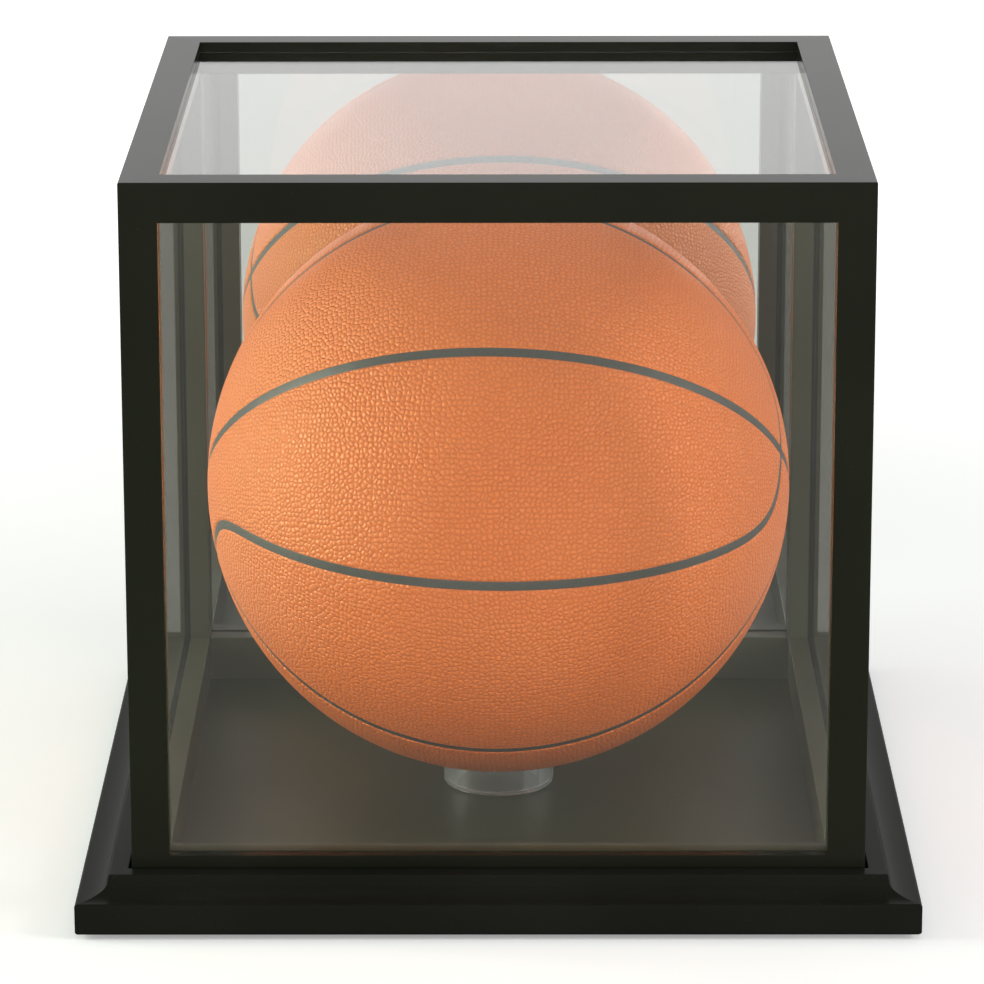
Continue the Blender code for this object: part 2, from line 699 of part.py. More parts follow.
def curved_seam(radius):
    """Returns the points of the seam that wanders between the two seam circles.

    Each bend crosses one seam circle short of a pole, on the two circles and at the two poles in
    turn, so that all the panels are alike.
    """
    dense = []
    for bend in range(SEAM_BENDS):
        pole = 1 if bend % 2 == 0 else -1
        middle = bend * QUARTER_TURN
        for sample in range(SAMPLES_PER_BEND):
            angle = -QUARTER_TURN + math.pi * sample / SAMPLES_PER_BEND
            rise = math.cos(angle)
            side = math.copysign((1 - rise ** SEAM_END_POWER) ** (1 / SEAM_SIDE_POWER), angle)
            latitude = pole * SEAM_CROSSING_ANGLE * rise
            dense.append(on_ball(latitude, middle + SEAM_SPREAD_ANGLE * side, radius))
    return even_points(dense, CURVED_SEAM_POINTS)


def sphere_object(name, radius, segments, rings, pose):
    """Adds a hidden sphere whose poles lie on the pose's X axis."""
    bm = bmesh.new()
    turn = Matrix.Rotation(QUARTER_TURN, 4, "Y")
    bmesh.ops.create_uvsphere(bm, u_segments=segments, v_segments=rings, radius=radius, matrix=turn)
    mesh = finish_bmesh(name, bm)
    mesh.shade_smooth()
    return add_cutter(name, mesh, pose)


def loose_parts(mesh):
    """Splits a mesh into its separate bodies, as new meshes."""
    bm = bmesh.new()
    bm.from_mesh(mesh)
    bm.verts.ensure_lookup_table()
    unseen = set(range(len(bm.verts)))
    groups = []
    while unseen:
        front = [min(unseen)]
        group = set(front)
        while front:
            for edge in bm.verts[front.pop()].link_edges:
                for vert in edge.verts:
                    if vert.index not in group:
                        group.add(vert.index)
                        front.append(vert.index)
        unseen -= group
        groups.append(group)
    bm.free()
    parts = []
    for group in groups:
        bm = bmesh.new()
        bm.from_mesh(mesh)
        bm.verts.ensure_lookup_table()
        others = [vert for vert in bm.verts if vert.index not in group]
        bmesh.ops.delete(bm, geom=others, context="VERTS")
        parts.append(finish_bmesh("panel", bm))
    return parts


def panel_longitude(mesh):
    """Returns the longitude of a panel's middle round the poles."""
    middle = sum((vert.co for vert in mesh.vertices), Vector()) / len(mesh.vertices)
    return math.atan2(middle.z, -middle.y) % FULL_TURN


def valve_matrix():
    """Returns the frame of the valve: Z outward, origin on the ball's surface."""
    outward = on_ball(VALVE_LATITUDE_ANGLE, VALVE_LONGITUDE_ANGLE, 1.0)
    turn = outward.to_track_quat("Z", "X").to_matrix().to_4x4()
    return ball_pose() @ Matrix.Translation(outward * BALL_RADIUS) @ turn


def add_panels(hole, parent):
    """Adds the leather panels: a thin shell cut apart along the seams."""
    pose = ball_pose()
    shell = sphere_object("panel_shell", BALL_RADIUS, SPHERE_SEGMENTS, SPHERE_RINGS, pose)
    hollow_radius = BALL_RADIUS - PANEL_THICKNESS
    cut(shell, sphere_object("panel_hollow", hollow_radius, SPHERE_SEGMENTS, SPHERE_RINGS, pose))
    seam_radius = BALL_RADIUS - PANEL_THICKNESS / 2
    seams = {
        "seam_first": great_seam(0, seam_radius),
        "seam_second": great_seam(QUARTER_TURN, seam_radius),
        "seam_curved": curved_seam(seam_radius),
    }
    for name, points in seams.items():
        cut(shell, add_cutter(name, curve_mesh(name, points, radius=SEAM_WIDTH / 2), pose))
    cut(shell, hole)
    panels = sorted(loose_parts(baked_mesh(shell)), key=panel_longitude)
    for number, mesh in enumerate(panels, 1):
        name = f"ball_panel_{number}"
        mesh.name = name
        mesh.materials.clear()
        mesh.materials.append(LEATHER)
        mesh.set_sharp_from_angle(angle=SMOOTH_ANGLE)
        add_piece(name, mesh, pose, LEATHER, parent)
    bpy.data.objects.remove(shell, do_unlink=True)


def add_carcass(hole, parent):
    """Adds the hollow rubber carcass with the valve's hole through its wall."""
    pose = ball_pose()
    radius = BALL_RADIUS - PANEL_THICKNESS - SEAT_GAP
    source = sphere_object("carcass_body", radius, SPHERE_SEGMENTS, SPHERE_RINGS, pose)
    carcass = add_piece("ball_carcass", source.data, pose, SEAM_RUBBER, parent)
    bpy.data.objects.remove(source, do_unlink=True)
    cut(carcass, sphere_object("carcass_hollow", radius - CARCASS_WALL, HOLLOW_SEGMENTS, HOLLOW_RINGS, pose))
    cut(carcass, hole)


def add_valve(parent):
    """Adds the valve, a rubber plug with a blind bore for an inflating needle."""
    top = -PANEL_THICKNESS / 2
    foot = top - VALVE_LENGTH
    bore_foot = top - VALVE_BORE_DEPTH
    profile = [(VALVE_BORE_RADIUS, top), (VALVE_RADIUS, top), (VALVE_RADIUS, foot), (0, foot)]
    profile += [(0, bore_foot), (VALVE_BORE_RADIUS, bore_foot)]
    mesh = profile_mesh("ball_valve", profile, closed=True)
    valve = add_piece("ball_valve", mesh, valve_matrix(), VALVE_RUBBER, parent)
    turn_about_z(valve, SCREW_FACETS)


def add_ball(parent):
    """Adds the ball."""
    depth = PANEL_THICKNESS + SEAT_GAP + CARCASS_WALL + VALVE_LENGTH
    mesh = cylinder_mesh("valve_hole", VALVE_RADIUS + SEAT_GAP, -depth, OVERRUN, SCREW_FACETS)
    hole = add_cutter("valve_hole", mesh, valve_matrix())
    add_carcass(hole, parent)
    add_panels(hole, parent)
    add_valve(parent)


def main():
    """Builds the display case."""
    base = new_empty("base", (0, 0, 0))
    cover = new_empty("cover", (0, 0, COVER_FOOT), base)
    ball = new_empty("ball", (0, 0, BALL_CENTRE), base)
    for side in SIDE_TURNS:
        add_moulding(side, base)
    add_floor(base)
    add_screws(base)
    add_pads(base)
    add_ring(base)
    add_cover(cover)
    add_ball(ball)


main()
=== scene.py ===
"""Looks of the basketball display case: finer wooden pieces, ring and ball, finishes and studio."""

import json
import logging
import math
from collections.abc import Callable, Iterator, Sequence
from contextlib import contextmanager
from dataclasses import dataclass
from enum import Enum
from typing import ClassVar

import bmesh
import bpy
import numpy as np
from mathutils import Matrix, Vector, kdtree

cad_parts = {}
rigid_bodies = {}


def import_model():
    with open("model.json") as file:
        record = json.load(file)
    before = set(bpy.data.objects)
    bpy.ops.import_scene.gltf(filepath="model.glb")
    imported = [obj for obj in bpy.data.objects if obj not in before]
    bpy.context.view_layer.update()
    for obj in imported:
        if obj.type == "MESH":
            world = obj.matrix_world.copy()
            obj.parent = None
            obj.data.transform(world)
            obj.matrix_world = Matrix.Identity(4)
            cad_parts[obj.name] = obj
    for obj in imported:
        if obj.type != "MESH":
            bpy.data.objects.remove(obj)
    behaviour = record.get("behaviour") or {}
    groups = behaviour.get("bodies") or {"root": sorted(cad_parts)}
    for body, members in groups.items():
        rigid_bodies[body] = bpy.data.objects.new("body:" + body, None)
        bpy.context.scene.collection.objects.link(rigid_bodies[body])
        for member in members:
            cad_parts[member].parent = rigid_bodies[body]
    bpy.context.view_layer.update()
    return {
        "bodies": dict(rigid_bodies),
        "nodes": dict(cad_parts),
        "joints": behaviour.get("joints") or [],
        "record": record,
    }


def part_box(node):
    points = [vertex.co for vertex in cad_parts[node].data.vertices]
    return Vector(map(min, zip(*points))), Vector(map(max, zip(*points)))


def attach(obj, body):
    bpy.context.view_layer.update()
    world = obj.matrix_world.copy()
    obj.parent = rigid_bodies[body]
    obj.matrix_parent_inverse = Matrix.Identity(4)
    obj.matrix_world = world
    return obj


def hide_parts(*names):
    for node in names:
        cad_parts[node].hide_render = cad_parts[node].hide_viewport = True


LOG = logging.getLogger("display_case")
QUARTER_TURN = math.pi / 2
FULL_TURN = math.tau
WELD_DISTANCE = 0.00001
SMOOTH_ANGLE = math.radians(38.0)

Colour = tuple[float, float, float]
Place = tuple[float, float, float]
Point = tuple[float, float]
Parts = tuple[bool, bool, bool]
EdgeTest = Callable[[Vector, Vector], bool]
Sockets = dict[str, bpy.types.NodeSocket]


class Slot(Enum):
    """The record's material slots."""

    LACQUER = "black_lacquered_wood"
    BASE_LACQUER = "black_lacquered_moulding"
    FLOOR = "black_lacquered_floor"
    DOWEL = "beech_dowel"
    GLASS = "clear_glass"
    MIRROR = "silvered_glass"
    BACKING = "black_backing_board"
    FELT = "black_felt"
    STEEL = "blackened_steel"
    ACRYLIC = "clear_acrylic"
    SEAM_RUBBER = "dark_grey_rubber"
    LEATHER = "orange_leather"
    VALVE_RUBBER = "black_valve_rubber"

    @property
    def packed(self) -> str:
        """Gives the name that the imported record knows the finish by."""
        return Slot.LACQUER.value if self is Slot.BASE_LACQUER else self.value


class Body(Enum):
    """The bodies that pieces ride on."""

    BASE = "base"
    COVER = "cover"
    BALL = "ball"


class Side(Enum):
    """The sides, as quarter turns from the front."""

    FRONT = 0
    RIGHT = 1
    BACK = 2
    LEFT = 3


class Corner(Enum):
    """The corners, as quarter turns from the front left one."""

    FRONT_LEFT = 0
    FRONT_RIGHT = 1
    BACK_RIGHT = 2
    BACK_LEFT = 3


class Bench:
    """The steps that pieces are made with."""

    @staticmethod
    def clear() -> None:
        """Leaves edit mode and selects nothing."""
        if bpy.context.object is not None and bpy.context.object.mode != "OBJECT":
            bpy.ops.object.mode_set(mode="OBJECT")
        bpy.ops.object.select_all(action="DESELECT")

    @staticmethod
    def take(piece: bpy.types.Object) -> None:
        """Makes one piece the selected and active one.

        Args:
            piece: The piece to work on.
        """
        Bench.clear()
        piece.select_set(True)
        bpy.context.view_layer.objects.active = piece

    @staticmethod
    def link(name: str, data: bpy.types.ID) -> bpy.types.Object:
        """Adds an object to the scene.

        Args:
            name: The object's name.
            data: Its mesh, lamp or camera.

        Returns:
            The object.
        """
        piece = bpy.data.objects.new(name, data)
        bpy.context.scene.collection.objects.link(piece)
        return piece

    @staticmethod
    def remove(piece: bpy.types.Object) -> None:
        """Takes a piece out of the scene."""
        bpy.data.objects.remove(piece, do_unlink=True)

    @staticmethod
    @contextmanager
    def editing(piece: bpy.types.Object, action: str = "SELECT", parts: Parts | None = None) -> Iterator[None]:
        """Works on one piece in edit mode.

        Args:
            piece: The piece.
            action: Whether all of it or nothing is selected first.
            parts: Whether vertices, edges and faces are picked, if that matters.

        Yields:
            Nothing, while the piece is in edit mode.
        """
        Bench.take(piece)
        bpy.ops.object.mode_set(mode="EDIT")
        if parts is not None:
            bpy.context.tool_settings.mesh_select_mode = parts
        bpy.ops.mesh.select_all(action=action)
        yield
        bpy.ops.object.mode_set(mode="OBJECT")

    @staticmethod
    def block(name: str, low: Vector, high: Vector) -> bpy.types.Object:
        """Adds a block between two corners, with its place in its mesh.

        Args:
            name: The piece's name.
            low: Its lowest corner.
            high: Its highest corner.

        Returns:
            The block.
        """
        Bench.clear()
        bpy.ops.mesh.primitive_cube_add(size=1.0, location=(low + high) / 2)
        piece = bpy.context.object
        piece.name = name
        piece.scale = high - low
        bpy.ops.object.transform_apply(location=True, rotation=True, scale=True)
        return piece

    @staticmethod
    def from_outline(name: str, points: Sequence[Point], closed: bool = True) -> bpy.types.Object:
        """Adds a flat line of (across, up) points in the plane of Y and Z, to extrude or spin.

        Args:
            name: The piece's name.
            points: The line's points.
            closed: Whether the last point joins the first.

        Returns:
            The line.
        """
        Bench.clear()
        count = len(points)
        edges = [(index, (index + 1) % count) for index in range(count if closed else count - 1)]
        mesh = bpy.data.meshes.new(name)
        mesh.from_pydata([(0.0, across, up) for across, up in points], edges, [])
        return Bench.link(name, mesh)

    @staticmethod
    def extrude_outline(piece: bpy.types.Object, low: float, high: float) -> None:
        """Fills an outline and extrudes it along X.

        Args:
            piece: A closed outline in the plane of Y and Z.
            low: Where the body starts.
            high: Where it ends.
        """
        with Bench.editing(piece):
            bpy.ops.transform.translate(value=(low, 0.0, 0.0))
            bpy.ops.mesh.edge_face_add()
            bpy.ops.mesh.extrude_region_move(TRANSFORM_OT_translate={"value": (high - low, 0.0, 0.0)})
            bpy.ops.mesh.select_all(action="SELECT")
            bpy.ops.mesh.normals_make_consistent(inside=False)

    @staticmethod
    def spin_outline(piece: bpy.types.Object, steps: int) -> None:
        """Spins an outline once round the Z axis and closes it.

        Args:
            piece: An outline in the plane of Y and Z.
            steps: The number of facets.
        """
        with Bench.editing(piece):
            bpy.ops.mesh.spin(steps=steps, angle=FULL_TURN, center=(0.0, 0.0, 0.0), axis=(0.0, 0.0, 1.0))
            bpy.ops.mesh.select_all(action="SELECT")
            bpy.ops.mesh.remove_doubles(threshold=WELD_DISTANCE)
            bpy.ops.mesh.normals_make_consistent(inside=False)

    @staticmethod
    def soften(piece: bpy.types.Object, chosen: EdgeTest, width: float, segments: int) -> None:
        """Bevels the edges that a test picks by their two ends.

        Args:
            piece: The piece.
            chosen: The test.
            width: The bevel's width.
            segments: Its number of facets.
        """
        with Bench.editing(piece, "DESELECT", (False, True, False)):
            shape = bmesh.from_edit_mesh(piece.data)
            for edge in shape.edges:
                edge.select = chosen(edge.verts[0].co, edge.verts[1].co)
            bmesh.update_edit_mesh(piece.data)
            bpy.ops.mesh.bevel(offset=width, segments=segments, profile=0.5, affect="EDGES")

    @staticmethod
    def mitre(piece: bpy.types.Object, reach: float, front: float) -> None:
        """Saws both ends of a length off at 45 degrees, towards the middle of the case.

        Args:
            piece: The length, along X.
            reach: Where its outer corners lie along X.
            front: Where its outer face lies along Y.
        """
        for end in (-1, 1):
            with Bench.editing(piece):
                bpy.ops.mesh.bisect(plane_co=(end * reach, front, 0.0), plane_no=Vector((end, 1, 0)).normalized(),
                                    use_fill=True, clear_outer=True)

    @staticmethod
    def hollow(piece: bpy.types.Object, low: Vector, high: Vector) -> None:
        """Cuts a block-shaped pocket into a piece.

        Args:
            piece: The piece.
            low: The pocket's lowest corner.
            high: Its highest corner.
        """
        cutter = Bench.block("pocket", low, high)
        Bench.take(piece)
        pocket = piece.modifiers.new("pocket", "BOOLEAN")
        pocket.operation = "DIFFERENCE"
        pocket.solver = "EXACT"
        pocket.object = cutter
        bpy.ops.object.modifier_apply(modifier=pocket.name)
        Bench.remove(cutter)

    @staticmethod
    def smooth(piece: bpy.types.Object) -> None:
        """Shades a piece smooth but for its sharp edges, with its broad faces kept flat."""
        Bench.take(piece)
        bpy.ops.object.shade_smooth_by_angle(angle=SMOOTH_ANGLE)
        weights = piece.modifiers.new("face_weights", "WEIGHTED_NORMAL")
        weights.keep_sharp = True
        bpy.ops.object.modifier_apply(modifier=weights.name)


def arc(centre: Point, radii: Point, start: float, end: float, steps: int) -> list[Point]:
    """Gives the points of an elliptic arc, both ends included.

    Args:
        centre: The ellipse's centre.
        radii: Its two radii.
        start: The first angle.
        end: The last angle.
        steps: The number of stretches.

    Returns:
        The points.
    """
    angles = [start + (end - start) * step / steps for step in range(steps + 1)]
    return [(centre[0] + radii[0] * math.cos(a), centre[1] + radii[1] * math.sin(a)) for a in angles]


class Sheet:
    """The node tree of one material or group, with short calls to add and join nodes."""

    def __init__(self, tree: bpy.types.NodeTree) -> None:
        """Takes the node tree to work in, and finds its Principled surface if it has one."""
        self.tree = tree
        self.surface = tree.nodes.get("Principled BSDF")

    def dress(self, **inputs: object) -> None:
        """Sets or joins inputs of the Principled surface.

        Args:
            **inputs: A value or an output socket for each input, named with underscores for spaces.
        """
        for label, value in inputs.items():
            self.feed(self.surface.inputs[label.replace("_", " ")], value)

    def add(self, kind: str, **inputs: object) -> bpy.types.Node:
        """Adds a node and sets or joins its inputs, named with underscores for spaces.

        Args:
            kind: The node's type.
            **inputs: A value or an output socket for each input.

        Returns:
            The node.
        """
        node = self.tree.nodes.new(kind)
        for label, value in inputs.items():
            self.feed(node.inputs[label.replace("_", " ")], value)
        return node

    def feed(self, socket: bpy.types.NodeSocket, value: object) -> None:
        """Joins an output to an input, or sets the input's value.

        Args:
            socket: The input.
            value: An output socket or a plain value.
        """
        if isinstance(value, bpy.types.NodeSocket):
            self.tree.links.new(value, socket)
        else:
            socket.default_value = value

    def math(self, operation: str, *values: object) -> bpy.types.NodeSocket:
        """Adds a Math node.

        Args:
            operation: What it works out.
            *values: Its values or sockets.

        Returns:
            The result.
        """
        node = self.tree.nodes.new("ShaderNodeMath")
        node.operation = operation
        for socket, value in zip(node.inputs, values):
            self.feed(socket, value)
        return node.outputs[0]

    def span(self, value: object, source: Point, target: Point, smooth: bool = False) -> bpy.types.NodeSocket:
        """Maps a value from one range to another, held at the ends.

        Args:
            value: The value.
            source: The range that it has.
            target: The range that it gets.
            smooth: Whether it eases in and out.

        Returns:
            The mapped value.
        """
        node = self.tree.nodes.new("ShaderNodeMapRange")
        node.interpolation_type = "SMOOTHSTEP" if smooth else "LINEAR"
        self.feed(node.inputs["Value"], value)
        node.inputs["From Min"].default_value, node.inputs["From Max"].default_value = source
        node.inputs["To Min"].default_value, node.inputs["To Max"].default_value = target
        return node.outputs["Result"]

    def mix(self, share: object, first: object, second: object) -> bpy.types.NodeSocket:
        """Mixes two colours.

        Args:
            share: The second one's share.
            first: The first colour.
            second: The second colour.

        Returns:
            The mixed colour.
        """
        node = self.tree.nodes.new("ShaderNodeMix")
        node.data_type = "RGBA"
        self.feed(node.inputs[0], share)
        self.feed(node.inputs[6], self.opaque(first))
        self.feed(node.inputs[7], self.opaque(second))
        return node.outputs[2]

    @staticmethod
    def opaque(value: object) -> object:
        """Gives a plain colour its alpha."""
        return (*value, 1.0) if isinstance(value, tuple) and len(value) == 3 else value

    def place(self) -> bpy.types.NodeSocket:
        """Gives the place on the piece."""
        return self.tree.nodes.new("ShaderNodeTexCoord").outputs["Object"]

    def within(self, reach: float, height: float) -> bpy.types.NodeSocket:
        """Gives 1 inside a square column round the Z axis and 0 outside it.

        Args:
            reach: Half of the column's width.
            height: Where the column ends.

        Returns:
            The mask.
        """
        parts = self.add("ShaderNodeSeparateXYZ", Vector=self.place()).outputs
        widest = self.math("MAXIMUM", self.math("ABSOLUTE", parts[0]), self.math("ABSOLUTE", parts[1]))
        inside = self.math("LESS_THAN", widest, reach)
        return self.math("MULTIPLY", inside, self.math("LESS_THAN", parts[2], height))

    def noise(self, scale: float, detail: float = 3.0, stretch: Place = (1.0, 1.0, 1.0),
              roughness: float = 0.5) -> bpy.types.NodeSocket:
        """Adds a noise over the piece.

        Args:
            scale: Its features per metre.
            detail: Its number of finer layers.
            stretch: Its scale along each axis.
            roughness: How strong the finer layers are.

        Returns:
            The noise, near 0.5.
        """
        spot = self.place()
        if stretch != (1.0, 1.0, 1.0):
            spot = self.add("ShaderNodeMapping", Vector=spot, Scale=stretch).outputs[0]
        noise = self.add("ShaderNodeTexNoise", Vector=spot, Scale=scale, Detail=detail, Roughness=roughness)
        return noise.outputs[0]

    def bump(self, height: object, distance: float) -> bpy.types.NodeSocket:
        """Turns a height into a normal, where a height of one stands out by a distance in metres."""
        return self.add("ShaderNodeBump", Height=height, Distance=distance, Strength=1.0).outputs[0]


class Effect:
    """Shared effects, each a node group that is made when it is first asked for."""

    made: dict[str, bpy.types.NodeTree] = {}

    @classmethod
    def group(cls, name: str, inputs: dict[str, float], draw: Callable[[Sheet, Sockets], Sockets]
              ) -> bpy.types.NodeTree:
        """Makes a node group, or finds it if it is made already.

        Args:
            name: The group's name.
            inputs: Its inputs with their usual values.
            draw: Adds its nodes and gives what feeds each output.

        Returns:
            The group.
        """
        if name in cls.made:
            return cls.made[name]
        tree = bpy.data.node_groups.new(name, "ShaderNodeTree")
        for label, value in inputs.items():
            socket = tree.interface.new_socket(label, in_out="INPUT", socket_type="NodeSocketFloat")
            socket.default_value = value
        source = tree.nodes.new("NodeGroupInput")
        results = draw(Sheet(tree), {label: source.outputs[label] for label in inputs})
        for label in results:
            tree.interface.new_socket(label, in_out="OUTPUT", socket_type="NodeSocketFloat")
        target = tree.nodes.new("NodeGroupOutput")
        for label, socket in results.items():
            tree.links.new(socket, target.inputs[label])
        cls.made[name] = tree
        return tree

    @staticmethod
    def place(sheet: Sheet, tree: bpy.types.NodeTree, **inputs: object) -> bpy.types.Node:
        """Places a group in a material.

        Args:
            sheet: The material's nodes.
            tree: The group.
            **inputs: Its inputs, named with underscores for spaces.

        Returns:
            The group's node.
        """
        node = sheet.tree.nodes.new("ShaderNodeGroup")
        node.node_tree = tree
        for label, value in inputs.items():
            sheet.feed(node.inputs[label.replace("_", " ")], value)
        return node

    @classmethod
    def dust(cls) -> bpy.types.NodeTree:
        """Gives the group of fine dust: sparse specks, more of them where dust gathers."""

        def draw(sheet: Sheet, given: Sockets) -> Sockets:
            """Adds the group's nodes and gives its mask."""
            cells = sheet.add("ShaderNodeTexVoronoi", Vector=sheet.place(), Scale=given["Specks per metre"])
            dots = sheet.span(cells.outputs["Distance"], (0.05, 0.16), (1.0, 0.0), smooth=True)
            chance = sheet.add("ShaderNodeSeparateColor", Color=cells.outputs["Color"]).outputs[0]
            chosen = sheet.math("LESS_THAN", chance, given["Share with a speck"])
            patches = sheet.span(sheet.noise(18.0), (0.42, 0.62), (0.25, 1.0), smooth=True)
            return {"Mask": sheet.math("MULTIPLY", sheet.math("MULTIPLY", dots, chosen), patches)}

        return cls.group("fine_dust", {"Specks per metre": 700.0, "Share with a speck": 0.06}, draw)

    @classmethod
    def drift(cls) -> bpy.types.NodeTree:
        """Gives the group of slow and fine unevenness, each from -1 to 1."""

        def draw(sheet: Sheet, given: Sockets) -> Sockets:
            """Adds the group's nodes and gives both values."""
            spot = sheet.place()
            results = {}
            for label, detail in (("Slow", 2.0), ("Fine", 4.0)):
                noise = sheet.add("ShaderNodeTexNoise", Vector=spot, Scale=given[label + " scale"], Detail=detail)
                results[label] = sheet.span(noise.outputs[0], (0.3, 0.7), (-1.0, 1.0))
            return results

        return cls.group("unevenness", {"Slow scale": 14.0, "Fine scale": 420.0}, draw)


@dataclass(frozen=True)
class Finish:
    """A finish, with what every Principled surface has."""

    slot: Slot
    colour: Colour
    roughness: float

    def dress(self) -> bpy.types.Material:
        """Makes the material.

        Returns:
            The material, named after its slot.
        """
        material = bpy.data.materials.new(self.slot.value + "_finish")
        material.use_nodes = True
        material.diffuse_color = (*self.colour, 1.0)
        sheet = Sheet(material.node_tree)
        sheet.dress(Base_Color=(*self.colour, 1.0), Roughness=self.roughness)
        self.work(sheet)
        return material

    def work(self, sheet: Sheet) -> None:
        """Adds the finish's own nodes.

        Args:
            sheet: The material's nodes.
        """

    def drifting(self, sheet: Sheet, deeper: float, slow_scale: float) -> bpy.types.NodeSocket:
        """Gives the finish's colour with a slow drift to a slightly deeper one.

        Args:
            sheet: The material's nodes.
            deeper: The deeper colour's share of the colour.
            slow_scale: The drift's features per metre.

        Returns:
            The drifting colour.
        """
        slow = Effect.place(sheet, Effect.drift(), Slow_scale=slow_scale).outputs["Slow"]
        deep = tuple(value * deeper for value in self.colour)
        return sheet.mix(sheet.span(slow, (-1.0, 1.0), (0.0, 1.0)), self.colour, deep)


@dataclass(frozen=True)
class Lacquer(Finish):
    """Black lacquer on wood, glossy outside and satin on the faces behind the panes, where its colour is painted
    lighter and olive as painted light.
    """

    ior: float = 1.20
    satin: float = 0.36
    # painted light: the faces behind the panes get this lighter olive grey for the light and reflection they show
    satin_painted_light_colour: Colour = (0.058, 0.061, 0.038)
    inner_reach: float = 0.1371
    inner_height: float = 0.2805
    relief: float = 0.0000015
    dust_share: float = 0.04
    dust_colour: Colour = (0.07, 0.07, 0.065)
    dust_roughness: float = 0.3
    uneven_roughness: float = 0.015

    def work(self, sheet: Sheet) -> None:
        """Adds unevenness, relief, dust, the satin inside and the lighter olive colour painted there as light.

        Args:
            sheet: The material's nodes.
        """
        sheet.dress(IOR=self.ior)
        uneven = Effect.place(sheet, Effect.drift(), Slow_scale=11.0, Fine_scale=520.0)
        dust = Effect.place(sheet, Effect.dust(), Share_with_a_speck=self.dust_share).outputs["Mask"]
        shade = sheet.span(uneven.outputs["Slow"], (-1.0, 1.0), (0.85, 1.15))
        tone = sheet.add("ShaderNodeVectorMath", Vector=self.colour)
        tone.operation = "SCALE"
        inside = sheet.within(self.inner_reach, self.inner_height)
        # painted light: behind the panes the lacquer's colour is mixed to a lighter olive grey
        if self.slot is Slot.LACQUER:
            sheet.feed(tone.inputs["Vector"], sheet.mix(inside, self.colour, self.satin_painted_light_colour))
        sheet.feed(tone.inputs["Scale"], shade)
        sheet.dress(Base_Color=sheet.mix(dust, tone.outputs[0], self.dust_colour))
        rough = sheet.span(inside, (0.0, 1.0), (self.roughness, self.satin))
        rough = sheet.math("MULTIPLY_ADD", uneven.outputs["Slow"], self.uneven_roughness, rough)
        sheet.dress(Roughness=sheet.math("MULTIPLY_ADD", dust, self.dust_roughness, rough))
        sheet.dress(Normal=sheet.bump(uneven.outputs["Fine"], self.relief))


@dataclass(frozen=True)
class Leather(Finish):
    """Pebbled leather: rounded pebbles with painted shade darkening their valleys, and a slow drift of its tan."""

    pebble: float = 0.0021
    relief: float = 0.00040
    regularity: float = 0.80
    valley_painted_shade_share: float = 0.38
    # painted shade: the pebbles' valleys are darkened towards this colour
    valley: Colour = (0.42, 0.055, 0.006)
    valley_roughness: float = 0.22
    rim_share: float = 0.45
    pale: Colour = (0.92, 0.29, 0.075)
    specular: float = 0.95
    specular_tint: Colour = (1.0, 0.86, 0.58)

    def work(self, sheet: Sheet) -> None:
        """Adds pebbles, painted shade in the valleys and drift, laid out on each panel's flat map.

        Args:
            sheet: The material's nodes.
        """
        sheet.dress(Specular_IOR_Level=self.specular, Specular_Tint=(*self.specular_tint, 1.0))
        spot = sheet.add("ShaderNodeUVMap").outputs[0]
        spot.node.uv_map = Ball.grain_map
        domes, edges = (sheet.tree.nodes.new("ShaderNodeTexVoronoi") for _ in range(2))
        domes.feature, edges.feature = "F1", "DISTANCE_TO_EDGE"
        for cells in (domes, edges):
            cells.voronoi_dimensions = "2D"
            cells.inputs["Randomness"].default_value = self.regularity
            cells.inputs["Scale"].default_value = 1 / self.pebble
            sheet.feed(cells.inputs["Vector"], spot)
        away = domes.outputs["Distance"]
        dome = sheet.span(sheet.math("MULTIPLY", away, away), (0.0, 0.42), (1.0, 0.0))
        rim = sheet.span(edges.outputs["Distance"], (0.0, 0.36), (0.0, 1.0), smooth=True)
        valley = sheet.span(edges.outputs["Distance"], (0.0, 0.30), (1.0, 0.0), smooth=True)
        uneven = Effect.place(sheet, Effect.drift(), Slow_scale=16.0, Fine_scale=900.0)
        tan = sheet.mix(sheet.span(uneven.outputs["Slow"], (-1.0, 1.0), (0.0, 0.14)), self.colour, self.pale)
        tan = sheet.mix(sheet.span(uneven.outputs["Fine"], (-1.0, 1.0), (0.0, 0.08)), tan, self.pale)
        # painted shade: the valleys are mixed towards the darker valley colour
        share = sheet.math("MULTIPLY", valley, self.valley_painted_shade_share)
        sheet.dress(Base_Color=sheet.mix(share, tan, self.valley))
        rough = sheet.math("MULTIPLY_ADD", valley, self.valley_roughness, self.roughness)
        sheet.dress(Roughness=rough)
        height = sheet.math("MULTIPLY", dome, 1 - self.rim_share)
        height = sheet.math("MULTIPLY_ADD", rim, self.rim_share, height)
        sheet.dress(Normal=sheet.bump(height, self.relief))


@dataclass(frozen=True)
class Grained(Finish):
    """A matt finish with a fine grain: board, rubber, felt or bare wood."""

    grain_scale: float = 900.0
    stretch: Place = (1.0, 1.0, 1.0)
    relief: float = 0.00004
    drift: float = 0.25
    rough_drift: float = 0.06
    sheen: float = 0.0
    metallic: float = 0.0

    def work(self, sheet: Sheet) -> None:
        """Adds the grain.

        Args:
            sheet: The material's nodes.
        """
        sheet.dress(Sheen_Weight=self.sheen, Metallic=self.metallic)
        grain = sheet.noise(self.grain_scale, 4.0, self.stretch, 0.6)
        uneven = Effect.place(sheet, Effect.drift(), Slow_scale=30.0, Fine_scale=self.grain_scale)
        dark = tuple(value * (1 - self.drift) for value in self.colour)
        pale = tuple(min(1.0, value * (1 + self.drift)) for value in self.colour)
        share = sheet.math("MULTIPLY_ADD", uneven.outputs["Slow"], 0.2, grain)
        sheet.dress(Base_Color=sheet.mix(share, dark, pale))
        rough = (self.roughness - self.rough_drift, self.roughness + self.rough_drift)
        sheet.dress(Roughness=sheet.span(grain, (0.3, 0.7), rough))
        sheet.dress(Normal=sheet.bump(grain, self.relief))


